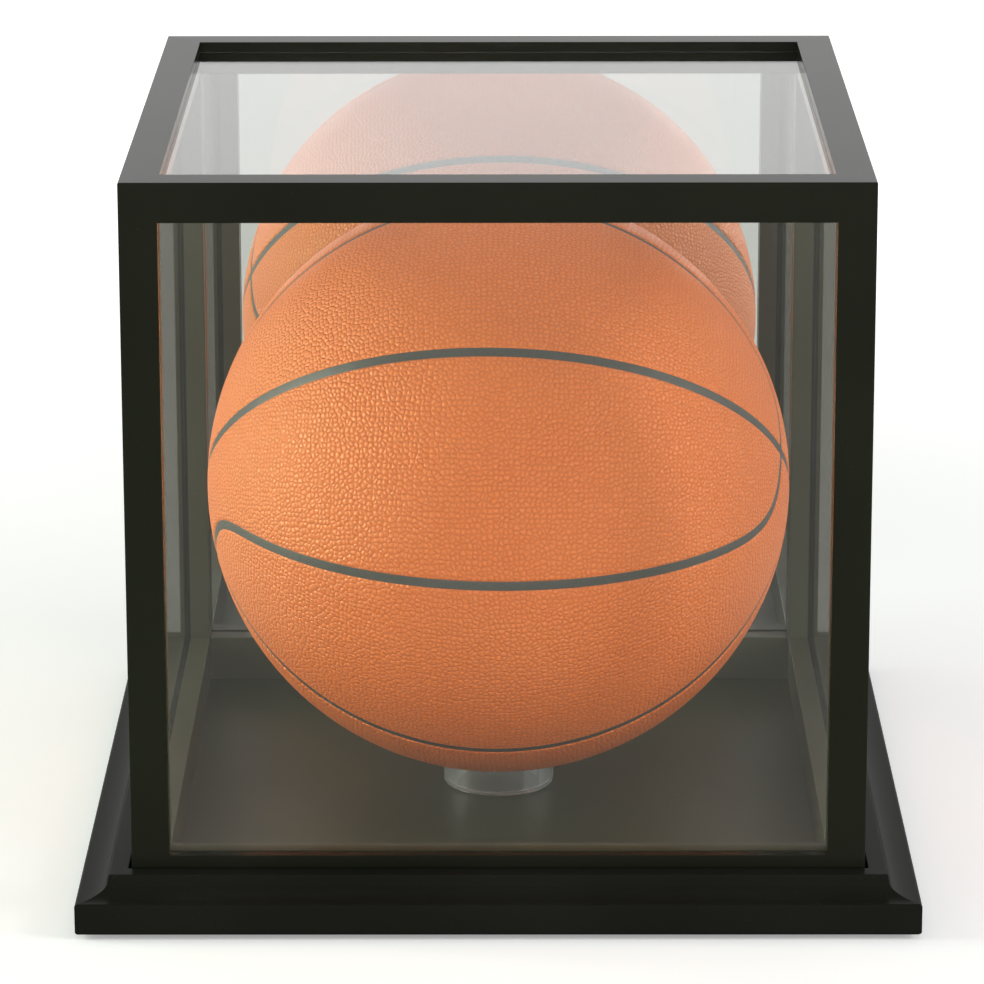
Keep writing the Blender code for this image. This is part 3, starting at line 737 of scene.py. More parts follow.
@dataclass(frozen=True)
class ClearSolid(Finish):
    """Clear glass or acrylic that lets light from lamps straight through."""

    ior: float = 1.52
    clearness: float = 1.0

    def work(self, sheet: Sheet) -> None:
        """Adds the clear body and the way through for light from lamps.

        Args:
            sheet: The material's nodes.
        """
        sheet.dress(Transmission_Weight=self.clearness, IOR=self.ior)
        sheet.dress(Base_Color=self.drifting(sheet, 0.985, 9.0))
        way = sheet.add("ShaderNodeLightPath")
        shader = sheet.surface.outputs[0]
        for ray in ("Is Shadow Ray", "Is Diffuse Ray"):
            gate = sheet.add("ShaderNodeMixShader", Fac=way.outputs[ray])
            clear = sheet.add("ShaderNodeBsdfTransparent", Color=(*self.colour, 1.0))
            sheet.feed(gate.inputs[1], shader)
            sheet.feed(gate.inputs[2], clear.outputs[0])
            shader = gate.outputs[0]
        sheet.feed(sheet.tree.nodes["Material Output"].inputs["Surface"], shader)


@dataclass(frozen=True)
class Silvering(Finish):
    """Silvered glass with a faint slow drift of its colour."""

    def work(self, sheet: Sheet) -> None:
        """Adds the silver and its faint unevenness.

        Args:
            sheet: The material's nodes.
        """
        sheet.dress(Metallic=1.0)
        sheet.dress(Base_Color=self.drifting(sheet, 0.98, 7.0))


def finishes() -> dict[Slot, bpy.types.Material]:
    """Makes every finish of the case.

    Returns:
        The materials by slot.
    """
    kinds = (
        Lacquer(Slot.LACQUER, (0.0120, 0.0135, 0.0085), 0.17, ior=1.18),
        Lacquer(Slot.BASE_LACQUER, (0.0110, 0.0115, 0.0090), 0.30, ior=1.09),
        # the case floor's black lacquer is lifted lighter and olive here, painted light for the veil of reflection
        # seen over it
        Lacquer(Slot.FLOOR, (0.026, 0.0285, 0.0080), 0.42, ior=1.25, dust_share=0.08),
        Grained(Slot.DOWEL, (0.55, 0.37, 0.21), 0.62, 700.0, (1.0, 1.0, 0.08)),
        ClearSolid(Slot.GLASS, (0.985, 0.992, 0.985), 0.0),
        Silvering(Slot.MIRROR, (0.88, 0.90, 0.89), 0.0),
        Grained(Slot.BACKING, (0.018, 0.018, 0.017), 0.75, 650.0),
        Grained(Slot.FELT, (0.014, 0.014, 0.015), 0.95, 1600.0, relief=0.00015, sheen=0.4),
        Grained(Slot.STEEL, (0.10, 0.10, 0.105), 0.36, 1200.0, drift=0.15, metallic=1.0, relief=0.00001),
        # painted light: the acrylic's clearness below one leaves a share of white diffuse, which lightens the ring
        # for the glints and light caught in it
        ClearSolid(Slot.ACRYLIC, (0.985, 0.99, 0.99), 0.02, ior=1.49, clearness=0.93),
        Grained(Slot.SEAM_RUBBER, (0.044, 0.045, 0.036), 0.48, 1500.0, drift=0.15),
        Leather(Slot.LEATHER, (0.75, 0.147, 0.007), 0.38),
        Grained(Slot.VALVE_RUBBER, (0.02, 0.02, 0.02), 0.6, 1500.0),
    )
    return {kind.slot: kind.dress() for kind in kinds}


@dataclass
class Workshop:
    """Hands out the finishes and puts finished pieces on their bodies."""

    materials: dict[Slot, bpy.types.Material]

    def place(self, piece: bpy.types.Object, body: Body, slot: Slot, *nodes: str) -> None:
        """Dresses a finished piece and lets it ride on its body.

        Args:
            piece: The piece.
            body: The body that carries it.
            slot: Its material slot.
            *nodes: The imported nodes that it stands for.
        """
        piece.data.materials.clear()
        piece.data.materials.append(self.materials[slot])
        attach(piece, body.value)
        if nodes:
            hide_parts(*nodes)

    def place_turned(self, original: bpy.types.Object, turns: type[Enum], label: str, body: Body, slot: Slot,
                     cut: Callable[[bpy.types.Object], None] | None = None) -> None:
        """Places a copy of a piece at each side or corner, and takes the piece itself away.

        Args:
            original: The piece of the first side or corner.
            turns: The sides or corners, as quarter turns.
            label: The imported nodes' names, with a gap for the side or corner.
            body: The body that carries the copies.
            slot: Their material slot.
            cut: Cuts a copy once it is turned.
        """
        for turn in turns:
            name = label.format(turn.name.lower())
            piece = Bench.link("fine_" + name, original.data.copy())
            piece.data.transform(Matrix.Rotation(turn.value * QUARTER_TURN, 4, "Z"))
            if cut is not None:
                cut(piece)
            Bench.smooth(piece)
            self.place(piece, body, slot, name)
        Bench.remove(original)

    def dress_nodes(self, frame: dict) -> None:
        """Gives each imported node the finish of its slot.
        """
        for row in frame["record"]["subparts"]:
            mesh = frame["nodes"][row["node"]].data
            mesh.materials.clear()
            mesh.materials.append(self.materials[Slot(row["material_slot"])])


@dataclass
class CoverFrame:
    """The cover's mitred rails and its posts, grooved for the panes."""

    shop: Workshop
    arris: float = 0.0006
    opening_arris: float = 0.0003
    arris_segments: int = 3
    groove_fit: float = 0.00003

    def __post_init__(self) -> None:
        """Reads the cover's outer box, the members' width and the rails' heights from the frame."""
        self.low = Vector(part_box("bottom_rail_left")[0])
        self.low.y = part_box("bottom_rail_front")[0].y
        self.high = Vector(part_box("top_rail_right")[1])
        self.high.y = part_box("top_rail_back")[1].y
        self.spans = {}
        for level in ("bottom", "top"):
            self.spans[level] = tuple(corner.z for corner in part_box(f"{level}_rail_front"))
        rail_low, rail_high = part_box("bottom_rail_front")
        self.member = rail_high.y - rail_low.y

    def rail(self, level: str) -> bpy.types.Object:
        """Makes the front rail of one level, mitred at both ends.

        Args:
            level: Whether it is a bottom or a top rail.

        Returns:
            The rail.
        """
        foot, head = self.spans[level]
        low = Vector((self.low.x, self.low.y, foot))
        high = Vector((self.high.x, self.low.y + self.member, head))
        rail = Bench.block("rail", low, high)
        joint = head if level == "bottom" else foot
        outer = self.low.y + WELD_DISTANCE

        def soft(first: Vector, second: Vector) -> bool:
            """Tells the outer edges, but for the one that the posts stand flush with."""
            reach = second - first
            long_way = abs(reach.x) > self.member * 2
            flush = long_way and abs(first.z - joint) < WELD_DISTANCE
            upright = abs(reach.z) > abs(reach.x) + abs(reach.y)
            return first.y < outer and (long_way or upright) and not flush

        def inner(first: Vector, second: Vector) -> bool:
            """Tells the long inner edges."""
            return abs(second.x - first.x) > self.member * 2 and first.y > outer + self.member / 2

        Bench.soften(rail, soft, self.arris, self.arris_segments)
        Bench.soften(rail, inner, self.opening_arris, self.arris_segments)
        Bench.mitre(rail, self.high.x, self.low.y)
        return rail

    def post(self) -> bpy.types.Object:
        """Makes the front left post.

        Returns:
            The post.
        """
        low = Vector((self.low.x, self.low.y, self.spans["bottom"][1]))
        high = Vector((self.low.x + self.member, self.low.y + self.member, self.spans["top"][0]))
        post = Bench.block("post", low, high)

        def outer(first: Vector, second: Vector) -> bool:
            """Tells the upright edge at the case's corner."""
            return (first + second - 2 * low).xy.length < self.arris

        def upright(first: Vector, second: Vector) -> bool:
            """Tells the other upright edges."""
            away = (first + second - 2 * low).xy.length / 2
            return abs(second.z - first.z) > self.member and away > 2 * self.arris

        Bench.soften(post, outer, self.arris, self.arris_segments)
        Bench.soften(post, upright, self.opening_arris, self.arris_segments)
        return post

    def cut_grooves(self, piece: bpy.types.Object) -> None:
        """Cuts the grooves of the panes that reach into a piece.

        Args:
            piece: A rail or a post.
        """
        fit = Vector((self.groove_fit,) * 3)
        low = Vector(map(min, *(vert.co for vert in piece.data.vertices)))
        high = Vector(map(max, *(vert.co for vert in piece.data.vertices)))
        for nodes in (("pane_front",), ("pane_left",), ("pane_right",), ("pane_top",), ("mirror", "mirror_backing")):
            boxes = [Glazing.span(node) for node in nodes]
            pane_low = Vector(map(min, *(box[0] for box in boxes), boxes[0][0])) - fit
            pane_high = Vector(map(max, *(box[1] for box in boxes), boxes[0][1])) + fit
            if all(pane_low[axis] < high[axis] and pane_high[axis] > low[axis] for axis in range(3)):
                Bench.hollow(piece, pane_low, pane_high)

    def build(self) -> None:
        """Makes the rails and posts."""
        for level in self.spans:
            label = level + "_rail_{}"
            self.shop.place_turned(self.rail(level), Side, label, Body.COVER, Slot.LACQUER, self.cut_grooves)
        self.shop.place_turned(self.post(), Corner, "post_{}", Body.COVER, Slot.LACQUER, self.cut_grooves)
        LOG.info("cover frame: 8 rails and 4 posts")


@dataclass
class BaseMoulding:
    """The base's four mitred lengths of moulding."""

    shop: Workshop
    top_flat: float = 0.0084
    step_drop: float = 0.0029
    step_lean: float = 0.0004
    cove_drop: float = 0.0048
    band_round: float = 0.0011
    foot_round: float = 0.0020
    arris: float = 0.0005
    rebate_width: float = 0.009
    floor_fit: float = 0.0003
    cover_clearance: float = 0.001
    arc_steps: int = 10

    def __post_init__(self) -> None:
        """Reads the base's outer faces and the floor's height from the frame."""
        self.low = Vector(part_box("base_moulding_front")[0])
        self.low.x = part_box("base_moulding_left")[0].x
        self.high = Vector(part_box("base_moulding_back")[1])
        self.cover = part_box("bottom_rail_front")[0].y
        self.floor_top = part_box("base_floor")[1].z

    def outline(self) -> list[Point]:
        """Gives the front length's section as (y, z) points.

        Returns:
            The points, from the outer foot up, over the top and down.
        """
        height = self.high.z - self.low.z
        projection = self.cover - self.low.y
        lip = projection - self.cover_clearance
        flat_end = projection - self.top_flat
        step_foot = height - self.step_drop
        band_top = step_foot - self.cove_drop
        ceiling = self.floor_top - self.low.z + self.floor_fit
        steps = self.arc_steps
        cove_reach = flat_end - self.step_lean - self.band_round
        foot = (self.foot_round, self.foot_round)
        points = arc(foot, (-self.foot_round, -self.foot_round), QUARTER_TURN, 0, steps)
        edge = (self.band_round, band_top - self.band_round)
        points += arc(edge, (-self.band_round, self.band_round), 0, QUARTER_TURN, steps)
        points += arc((self.band_round, step_foot), (cove_reach, -self.cove_drop), QUARTER_TURN, 0, 2 * steps)[1:]
        shoulder = height - self.arris
        points += arc((flat_end + self.arris, shoulder), (-self.arris, self.arris), 0, QUARTER_TURN, 3)
        points += arc((lip - self.arris, shoulder), (self.arris, self.arris), QUARTER_TURN, 0, 3)
        points += [(lip, ceiling), (lip - self.rebate_width, ceiling), (lip - self.rebate_width, 0.0)]
        return [(self.low.y + across, self.low.z + up) for across, up in points]

    def build(self) -> None:
        """Makes the four lengths."""
        length = Bench.from_outline("moulding", self.outline())
        Bench.extrude_outline(length, self.low.x, -self.low.x)
        Bench.mitre(length, -self.low.x, self.low.y)
        self.shop.place_turned(length, Side, "base_moulding_{}", Body.BASE, Slot.BASE_LACQUER)
        LOG.info("base: 4 lengths of moulding")


@dataclass
class Glazing:
    """The two side panes, which stand a little further out than the front one, and the mirror."""

    shop: Workshop
    glass_ior: float = 1.52
    outward: ClassVar[dict[str, float]] = {"pane_left": -0.0014, "pane_right": 0.0014}

    @classmethod
    def span(cls, node: str) -> tuple[Vector, Vector]:
        """Gives the box that a pane fills.

        Args:
            node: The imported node's name.

        Returns:
            Its lowest and highest corner.
        """
        low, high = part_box(node)
        shift = Vector((cls.outward.get(node, 0.0), 0.0, 0.0))
        return Vector(low) + shift, Vector(high) + shift

    def build(self) -> None:
        """Makes the side panes, and the mirror with its silver where it seems to lie behind the glass."""
        for node in self.outward:
            self.shop.place(Bench.block("fine_" + node, *self.span(node)), Body.COVER, Slot.GLASS, node)
        low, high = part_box("mirror")
        silver = low.y + (high.y - low.y) / self.glass_ior
        sheet = Bench.block("fine_mirror", Vector((low.x, silver, low.z)), high)
        self.shop.place(sheet, Body.COVER, Slot.MIRROR, "mirror")
        LOG.info("side panes and mirror")


@dataclass
class BallRing:
    """The clear ring that the ball sits on."""

    shop: Workshop
    bore_radius: float = 0.017
    edge: float = 0.0010
    rim: float = 0.0014
    seat_gap: float = 0.0003
    facets: int = 128
    arc_steps: int = 6

    def __post_init__(self) -> None:
        """Reads the ring's and the ball's size from the frame."""
        low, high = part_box("ball_ring")
        self.radius = high.x
        self.foot = low.z
        ball_low, ball_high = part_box("ball_carcass")
        self.ball_centre = (ball_low.z + ball_high.z) / 2
        self.ball_radius = Ball.radius + self.seat_gap

    def seat(self, radius: float) -> float:
        """Gives the seat's height at a radius."""
        return self.ball_centre - math.sqrt(self.ball_radius ** 2 - radius ** 2)

    def build(self) -> None:
        """Makes the ring."""
        steps, edge = self.arc_steps, self.edge
        outer, inner = self.radius - self.rim, self.bore_radius + edge
        rim_foot = self.seat(outer) - self.rim
        points = arc((outer, rim_foot), (self.rim, self.rim), QUARTER_TURN, 0, steps)
        points += arc((self.radius - edge, self.foot + edge), (edge, -edge), 0, QUARTER_TURN, steps)
        points += arc((inner, self.foot + edge), (-edge, -edge), QUARTER_TURN, 0, steps)
        bore_top = self.seat(inner) - edge
        points += arc((inner, bore_top), (-edge, edge), 0, QUARTER_TURN, steps)
        for step in range(1, 3 * steps):
            radius = inner + (outer - inner) * step / (3 * steps)
            points.append((radius, self.seat(radius)))
        ring = Bench.from_outline("fine_ball_ring", points)
        Bench.spin_outline(ring, self.facets)
        Bench.smooth(ring)
        self.shop.place(ring, Body.BASE, Slot.ACRYLIC, "ball_ring")
        LOG.info("clear ring")


@dataclass
class Ball:
    """The leather ball: eight alike panels whose edges roll down into the rubber seams."""

    shop: Workshop
    radius: float = 0.120
    turn: float = math.radians(-1.2)
    tilt: float = math.radians(-0.5)
    roll: float = math.radians(41.2)
    crossing_angle: float = math.radians(74.5)
    spread_angle: float = math.radians(45.0)
    end_power: float = 16.0
    seam_half_width: float = 0.0019
    seam_drop: float = 0.00035
    seam_foot: float = 0.0016
    roll_start: float = 0.0028
    roll_end: float = 0.0010
    roll_depth: float = 0.0009
    rib_edge: float = 0.15
    panel_thickness: float = 0.0010
    smallest_panel: int = 100
    panel_smooth_angle: float = math.radians(60.0)
    valve_radius: float = 0.0032
    valve_depth: float = 0.0096
    valve_bore: float = 0.0008
    valve_edge: float = 0.0003
    valve_facets: int = 48
    valve_latitude: float = math.radians(20.0)
    valve_longitude: float = math.radians(210.0)
    sphere_level: int = 6
    fine_reach: tuple[float, ...] = (0.010, 0.0065, 0.0042)
    seam_points: int = 360
    samples_per_bend: int = 1600
    grain_map: ClassVar[str] = "grain"

    def __post_init__(self) -> None:
        """Reads the ball's place from the frame and sets up its own frame."""
        low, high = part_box("ball_carcass")
        turns = (Matrix.Rotation(self.turn, 4, "Z") @ Matrix.Rotation(-self.tilt, 4, "Y")
                 @ Matrix.Rotation(-self.roll, 4, "X"))
        self.pose = Matrix.Translation((low + high) / 2) @ turns
        self.curve = self.wandering_seam()
        self.tree = kdtree.KDTree(len(self.curve))
        for index, point in enumerate(self.curve):
            self.tree.insert(point, index)
        self.tree.balance()
        self.valve = self.spot(self.valve_latitude, self.valve_longitude)

    def spot(self, latitude: float, longitude: float) -> Vector:
        """Gives a point of the ball, with latitude towards +X and longitude from -Y towards +Z.

        Args:
            latitude: The angle from the middle circle.
            longitude: The angle round the poles.

        Returns:
            The point in the ball's frame.
        """
        across = self.radius * math.cos(latitude)
        return Vector((self.radius * math.sin(latitude), -across * math.cos(longitude),
                       across * math.sin(longitude)))

    def circle_seam(self, longitude: float) -> list[Vector]:
        """Gives the points of a seam through both poles.

        Args:
            longitude: Its place round the poles.

        Returns:
            The points.
        """
        return [self.spot(FULL_TURN * index / self.seam_points, longitude) for index in range(self.seam_points)]

    def wandering_seam(self) -> list[Vector]:
        """Gives close points of the seam that wanders from circle to circle.

        Returns:
            The points.
        """
        points = []
        for bend in range(4):
            pole = 1 if bend % 2 == 0 else -1
            for sample in range(self.samples_per_bend):
                angle = -QUARTER_TURN + math.pi * sample / self.samples_per_bend
                rise = math.cos(angle)
                side = math.copysign(math.sqrt(1 - rise ** self.end_power), angle)
                points.append(self.spot(pole * self.crossing_angle * rise,
                                        bend * QUARTER_TURN + self.spread_angle * side))
        return points

    def seam_distance(self, spots: np.ndarray) -> np.ndarray:
        """Gives how far places of the ball lie from the nearest seam, or as far from the valve's rim.

        Args:
            spots: The places, in the ball's frame.

        Returns:
            The distances.
        """
        unit = spots / np.linalg.norm(spots, axis=1, keepdims=True)
        nearest = self.radius * np.arcsin(np.minimum(np.abs(unit[:, 1]), np.abs(unit[:, 2])))
        curved = np.array([self.tree.find(point)[2] for point in unit * self.radius])
        valve = np.linalg.norm(unit * self.radius - np.array(self.valve), axis=1)
        rim = valve - self.valve_radius + self.seam_half_width
        return np.minimum(np.minimum(nearest, curved), np.maximum(rim, 0.0))

    @staticmethod
    def places(piece: bpy.types.Object) -> np.ndarray:
        """Gives the places of a piece's vertices.

        Args:
            piece: The piece, which leaves edit mode.

        Returns:
            The places, as rows.
        """
        if piece.mode == "EDIT":
            bpy.ops.object.mode_set(mode="OBJECT")
        rows = np.zeros(len(piece.data.vertices) * 3)
        piece.data.vertices.foreach_get("co", rows)
        return rows.reshape(-1, 3)

    def refine(self, skin: bpy.types.Object, reach: float) -> None:
        """Divides the faces near the seams and puts their vertices back on the ball.

        Args:
            skin: The ball's skin.
            reach: How near a face has to lie.
        """
        self.pick_near(skin, reach)
        bpy.ops.mesh.subdivide(number_cuts=1)
        rows = self.places(skin)
        self.move(skin, rows * (self.radius / np.linalg.norm(rows, axis=1, keepdims=True)))

    def pick_near(self, skin: bpy.types.Object, reach: float) -> None:
        """Selects the faces near the seams and stays in edit mode.

        Args:
            skin: The ball's skin.
            reach: How near a face has to lie.
        """
        centres = np.zeros(len(skin.data.polygons) * 3)
        skin.data.polygons.foreach_get("center", centres)
        near = self.seam_distance(centres.reshape(-1, 3)) < reach
        with Bench.editing(skin, "DESELECT", (False, False, True)):
            pass
        skin.data.polygons.foreach_set("select", near)
        bpy.ops.object.mode_set(mode="EDIT")

    @staticmethod
    def move(piece: bpy.types.Object, rows: np.ndarray) -> None:
        """Gives a piece's vertices new places.

        Args:
            piece: The piece, in object mode.
            rows: The places, as rows.
        """
        piece.data.vertices.foreach_set("co", rows.ravel())
        piece.data.update()

    def skin(self) -> bpy.types.Object:
        """Makes the ball's skin, open along the seams and rolled down to them.

        Returns:
            The skin, in the ball's frame.
        """
        Bench.clear()
        bpy.ops.mesh.primitive_ico_sphere_add(subdivisions=self.sphere_level, radius=self.radius)
        skin = bpy.context.object
        for reach in self.fine_reach:
            self.refine(skin, reach)
        self.pick_near(skin, self.roll_end)
        bpy.ops.mesh.delete(type="FACE")
        rows = self.places(skin)
        share = np.clip((self.roll_start - self.seam_distance(rows)) / (self.roll_start - self.roll_end), 0, 1)
        drop = self.roll_depth * share ** 2 * (3 - 2 * share)
        self.move(skin, rows * (1 - (drop / self.radius)[:, None]))
        return skin

    def lay_flat(self, piece: bpy.types.Object) -> None:
        """Gives a panel its flat map, in metres, as if the leather were cut from a flat hide.

        Args:
            piece: The panel, in the ball's frame.
        """
        rows = self.places(piece)
        unit = rows / np.linalg.norm(rows, axis=1, keepdims=True)
        middle = unit.mean(axis=0)
        middle /= np.linalg.norm(middle)
        first = np.cross(middle, (1.0, 0.0, 0.0) if abs(middle[0]) < 0.8 else (0.0, 1.0, 0.0))
        first /= np.linalg.norm(first)
        flat = unit @ np.stack((first, np.cross(middle, first)), axis=1)
        away = np.arccos(np.clip(unit @ middle, -1.0, 1.0))
        flat *= (self.radius * away / np.maximum(np.linalg.norm(flat, axis=1), 1e-9))[:, None]
        corners = np.zeros(len(piece.data.loops), dtype=np.int32)
        piece.data.loops.foreach_get("vertex_index", corners)
        grain = piece.data.uv_layers.new(name=self.grain_map)
        grain.data.foreach_set("uv", flat[corners].ravel())

    def panels(self) -> None:
        """Makes the panels."""
        skin = self.skin()
        Bench.take(skin)
        bpy.ops.mesh.separate(type="LOOSE")
        pieces = [piece for piece in bpy.context.selected_objects if len(piece.data.polygons) > self.smallest_panel]
        for piece in [piece for piece in bpy.context.selected_objects if piece not in pieces]:
            Bench.remove(piece)
        nodes = {f"ball_panel_{number}": None for number in range(1, 9)}
        for node in nodes:
            low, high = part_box(node)
            nodes[node] = (low + high) / 2
        LOG.info("ball: %d panels", len(pieces))
        for piece in pieces:
            self.lay_flat(piece)
            piece.data.transform(self.pose)
            rows = self.places(piece)
            middle = Vector((rows.min(axis=0) + rows.max(axis=0)) / 2)
            node = min(nodes, key=lambda name: (nodes[name] - middle).length)
            nodes.pop(node)
            piece.name = "fine_" + node
            Bench.take(piece)
            wall = piece.modifiers.new("wall", "SOLIDIFY")
            wall.thickness = self.panel_thickness
            wall.offset = -1.0
            bpy.ops.object.modifier_apply(modifier=wall.name)
            bpy.ops.object.shade_smooth_by_angle(angle=self.panel_smooth_angle)
            self.shop.place(piece, Body.BALL, Slot.LEATHER, node)

    def rib(self, name: str, points: list[Vector], sink: float) -> bpy.types.Object:
        """Makes the rubber rib of one seam.

        Args:
            name: The rib's name.
            points: The seam's line, closed.
            sink: How much lower it lies than the others.

        Returns:
            The rib.
        """
        half, top, foot = self.seam_half_width, self.radius - self.seam_drop - sink, self.radius - self.seam_foot
        edge = self.rib_edge * half
        right = [(0.8 * half, top), (1.1 * half, top - 0.4 * edge),
                 (1.35 * half, top - 2 * edge), (1.35 * half, foot)]
        section = [(-offset, height) for offset, height in reversed(right)] + right
        verts, faces = [], []
        count, sides = len(points), len(section)
        for index, point in enumerate(points):
            outward = point.normalized()
            along = (points[(index + 1) % count] - points[index - 1]).normalized()
            across = outward.cross(along).normalized()
            for offset, height in section:
                verts.append((outward * height + across * offset).normalized() * height)
        for ring in range(count):
            for side in range(sides):
                following = (side + 1) % sides
                after = (ring + 1) % count
                faces.append((ring * sides + side, ring * sides + following,
                              after * sides + following, after * sides + side))
        mesh = bpy.data.meshes.new(name)
        mesh.from_pydata(verts, [], faces)
        rib = Bench.link(name, mesh)
        with Bench.editing(rib):
            bpy.ops.mesh.normals_make_consistent(inside=False)
        mesh.transform(self.pose)
        Bench.smooth(rib)
        return rib

    def ribs(self) -> None:
        """Makes the seams' ribs."""
        lines = {
            "seam_rib_first": (self.circle_seam(0.0), 0.0),
            "seam_rib_second": (self.circle_seam(QUARTER_TURN), 0.00002),
            "seam_rib_wandering": (self.even(self.curve, 2 * self.seam_points), 0.00004),
        }
        LOG.info("ball: %d ribs", len(lines))
        for name, (points, sink) in lines.items():
            self.shop.place(self.rib(name, points, sink), Body.BALL, Slot.SEAM_RUBBER)

    @staticmethod
    def even(points: list[Vector], count: int) -> list[Vector]:
        """Picks evenly spaced points of a closed line.

        Args:
            points: The line's close points.
            count: How many to pick.

        Returns:
            The picked points.
        """
        gaps = [(second - first).length for first, second in zip(points, points[1:] + points[:1])]
        travelled = np.concatenate(([0.0], np.cumsum(gaps)))
        targets = travelled[-1] * np.arange(count) / count
        return [points[index] for index in np.searchsorted(travelled[:-1], targets)]

    def build_valve(self) -> None:
        """Makes the valve, a rubber button with a needle hole."""
        top, foot = -self.seam_drop, -self.valve_depth
        bore, edge, wall = self.valve_bore, self.valve_edge, self.valve_radius
        points = [(0.0, top - 2 * wall), (bore, top - 2 * wall)]
        points += arc((bore + edge, top - edge), (-edge, edge), 0, QUARTER_TURN, 3)
        points += arc((wall - edge, top - edge), (edge, edge), QUARTER_TURN, 0, 3)
        points += [(wall, foot), (0.0, foot)]
        valve = Bench.from_outline("fine_ball_valve", points, closed=False)
        Bench.spin_outline(valve, self.valve_facets)
        outward = self.valve.normalized()
        turn = outward.to_track_quat("Z", "X").to_matrix().to_4x4()
        valve.data.transform(self.pose @ Matrix.Translation(self.valve) @ turn)
        Bench.smooth(valve)
        self.shop.place(valve, Body.BALL, Slot.VALVE_RUBBER, "ball_valve")

    def build(self) -> None:
        """Makes the ball's panels, ribs and valve."""
        self.panels()
        self.ribs()
        self.build_valve()


@dataclass(frozen=True)
class PhotoCamera:
    """The camera that took the photo."""

    place: Place = (0.002972, -1.918068, 0.701736)
    pitch: float = math.radians(14.844)
    roll: float = math.radians(0.079)
    yaw: float = math.radians(-0.166)
    focal_pixels: float = 4835.97
    axis_row: float = 349.247
    frame_pixels: float = 984.0
    sensor: float = 36.0

    def build(self) -> None:
        """Adds the camera and makes it the scene's."""
        lens = bpy.data.cameras.new("photo_camera")
        lens.sensor_width = self.sensor
        lens.lens = self.focal_pixels / self.frame_pixels * self.sensor
        lens.shift_y = (self.axis_row - self.frame_pixels / 2) / self.frame_pixels
        lens.clip_start, lens.clip_end = 0.05, 60.0
        camera = Bench.link("photo_camera", lens)
        forward = Vector((math.sin(self.yaw) * math.cos(self.pitch), math.cos(self.yaw) * math.cos(self.pitch),
                          -math.sin(self.pitch)))
        right = Vector((math.cos(self.yaw), -math.sin(self.yaw), 0.0))
        down = forward.cross(right)
        level_right = right * math.cos(self.roll) + down * math.sin(self.roll)
        level_down = down * math.cos(self.roll) - right * math.sin(self.roll)
        turn = Matrix((level_right, -level_down, -forward)).transposed().to_4x4()
        camera.matrix_world = Matrix.Translation(self.place) @ turn
        bpy.context.scene.camera = camera
        LOG.info("camera")


@dataclass(frozen=True)
class Lamp:
    """A soft area lamp."""

    name: str
    place: Place
    width: float
    height: float
    power: float
    mirrored: bool = True
    tint: Colour = (1.0, 1.0, 1.0)
    aim: Place = (0.0, 0.0, 0.14)

    def build(self) -> None:
        """Adds the lamp."""
        data = bpy.data.lights.new(self.name, "AREA")
        data.shape = "RECTANGLE"
        data.size, data.size_y = self.width, self.height
        data.energy = self.power
        data.color = self.tint
        lamp = Bench.link(self.name, data)
        lamp.visible_glossy = self.mirrored
        lamp.location = self.place
        lamp.rotation_euler = (Vector(self.aim) - Vector(self.place)).to_track_quat("-Z", "Y").to_euler()


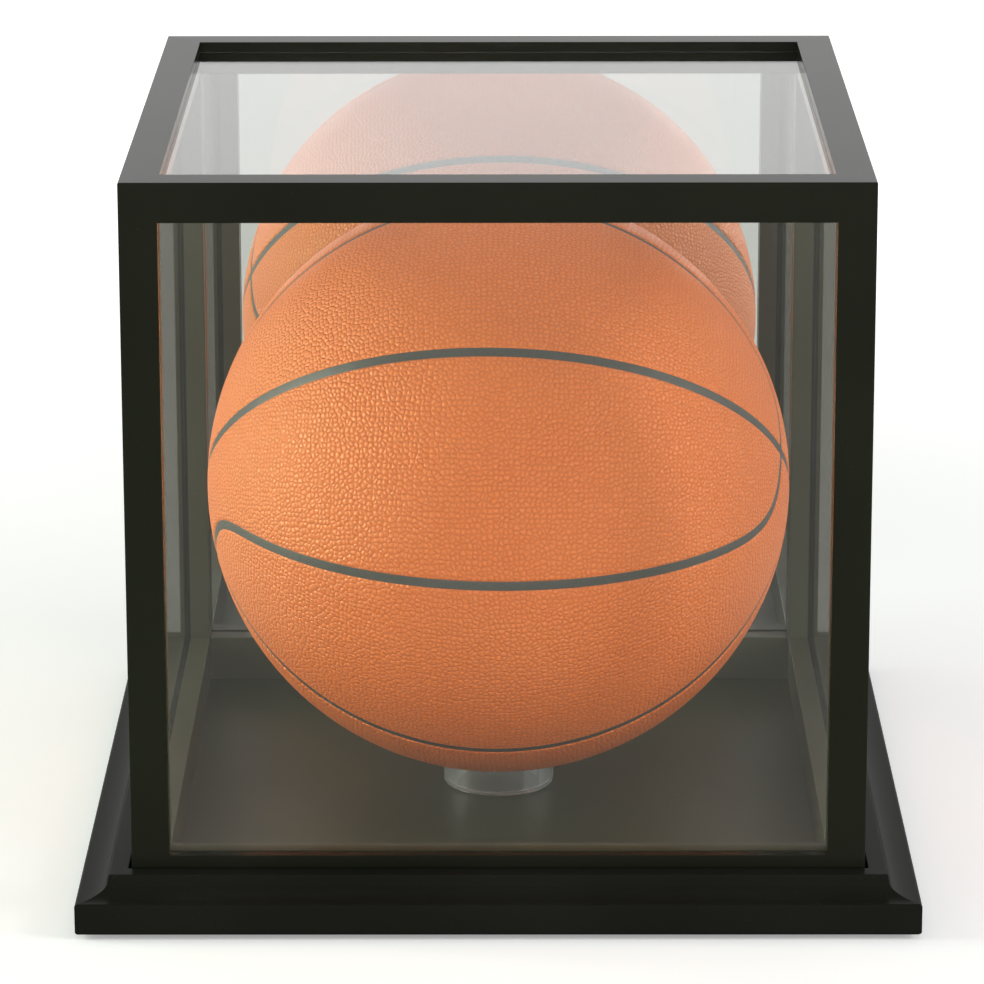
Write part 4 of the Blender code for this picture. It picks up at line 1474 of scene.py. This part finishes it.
@dataclass(frozen=True)
class Studio:
    """A plain pale floor, soft lamps and a white surrounding."""

    floor_size: float = 24.0
    floor_colour: Colour = (0.92, 0.92, 0.92)
    floor_in_gloss: Colour = (0.40, 0.40, 0.36)
    floor_roughness: float = 0.9
    near_lift: float = 0.27
    far_lift: float = 1.0
    through_lift: float = 0.35
    lift_reach: Point = (0.35, 1.3)
    ambient: float = 0.60
    gloss_seen: float = 1.0
    ceiling_share: float = 0.15
    ceiling_rise: Point = (0.45, 0.75)
    lamps: tuple[Lamp, ...] = (
        Lamp("left_softbox", (-1.30, -0.05, 0.42), 0.55, 0.9, 13.0, tint=(0.94, 1.05, 0.84)),
        Lamp("right_softbox", (1.25, -0.44, 0.62), 0.55, 0.9, 9.0),
        Lamp("top_softbox", (0.0, 0.05, 1.65), 1.4, 1.2, 6.5, mirrored=False),
        Lamp("front_softbox", (0.0, -1.75, 0.16), 2.4, 0.3, 12.0, mirrored=False),
    )

    def build_floor(self) -> None:
        """Adds the floor, lifted to white where the camera sees it unshaded and kept dim in gloss."""
        Bench.clear()
        bpy.ops.mesh.primitive_plane_add(size=self.floor_size)
        floor = bpy.context.object
        floor.name = "studio_floor"
        material = bpy.data.materials.new("studio_floor")
        material.use_nodes = True
        sheet = Sheet(material.node_tree)
        sheet.dress(Roughness=self.floor_roughness, Specular_IOR_Level=0.0, Emission_Color=(1.0, 1.0, 1.0, 1.0))
        way = sheet.add("ShaderNodeLightPath")
        tone = sheet.mix(way.outputs["Is Glossy Ray"], self.floor_colour, self.floor_in_gloss)
        sheet.dress(Base_Color=tone)
        away = sheet.add("ShaderNodeVectorMath", Vector=sheet.place())
        away.operation = "LENGTH"
        lift = sheet.span(away.outputs["Value"], self.lift_reach, (self.near_lift, self.far_lift), smooth=True)
        lift = sheet.math("MULTIPLY", way.outputs["Is Camera Ray"], lift)
        through = sheet.math("MULTIPLY", way.outputs["Is Transmission Ray"], self.through_lift)
        sheet.dress(Emission_Strength=sheet.math("ADD", lift, through))
        floor.data.materials.append(material)

    def build_world(self) -> None:
        """Sets the white surrounding, with a dark ceiling, which lights the case less than it shows."""
        world = bpy.data.worlds.new("studio")
        bpy.context.scene.world = world
        world.use_nodes = True
        sheet = Sheet(world.node_tree)
        backdrop = world.node_tree.nodes["Background"]
        backdrop.inputs["Color"].default_value = (1.0, 1.0, 1.0, 1.0)
        way = sheet.add("ShaderNodeLightPath")
        way_out = sheet.add("ShaderNodeTexCoord").outputs["Generated"]
        rise = sheet.add("ShaderNodeSeparateXYZ", Vector=way_out).outputs[2]
        ceiling = sheet.span(rise, self.ceiling_rise, (1.0, self.ceiling_share), smooth=True)
        more_in_gloss = self.gloss_seen - self.ambient
        lit = sheet.math("MULTIPLY_ADD", way.outputs["Is Glossy Ray"], more_in_gloss, self.ambient)
        lit = sheet.math("MULTIPLY", lit, ceiling)
        seen = sheet.math("MAXIMUM", way.outputs["Is Camera Ray"], way.outputs["Is Transmission Ray"])
        unseen = sheet.math("SUBTRACT", 1.0, seen)
        sheet.feed(backdrop.inputs["Strength"], sheet.math("MULTIPLY_ADD", unseen, lit, seen))

    def build(self) -> None:
        """Sets up the studio."""
        self.build_floor()
        self.build_world()
        for lamp in self.lamps:
            lamp.build()
        bpy.context.scene.view_settings.view_transform = "Standard"
        LOG.info("studio: floor, surrounding and %d lamps", len(self.lamps))


def main() -> None:
    """Builds the looks of the display case."""
    logging.basicConfig(level=logging.INFO, format="%(message)s")
    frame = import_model()
    PhotoCamera().build()
    shop = Workshop(finishes())
    shop.dress_nodes(frame)
    for assembly in (CoverFrame, BaseMoulding, Glazing, BallRing, Ball):
        assembly(shop).build()
    Studio().build()


if __name__ == "__main__":
    main()
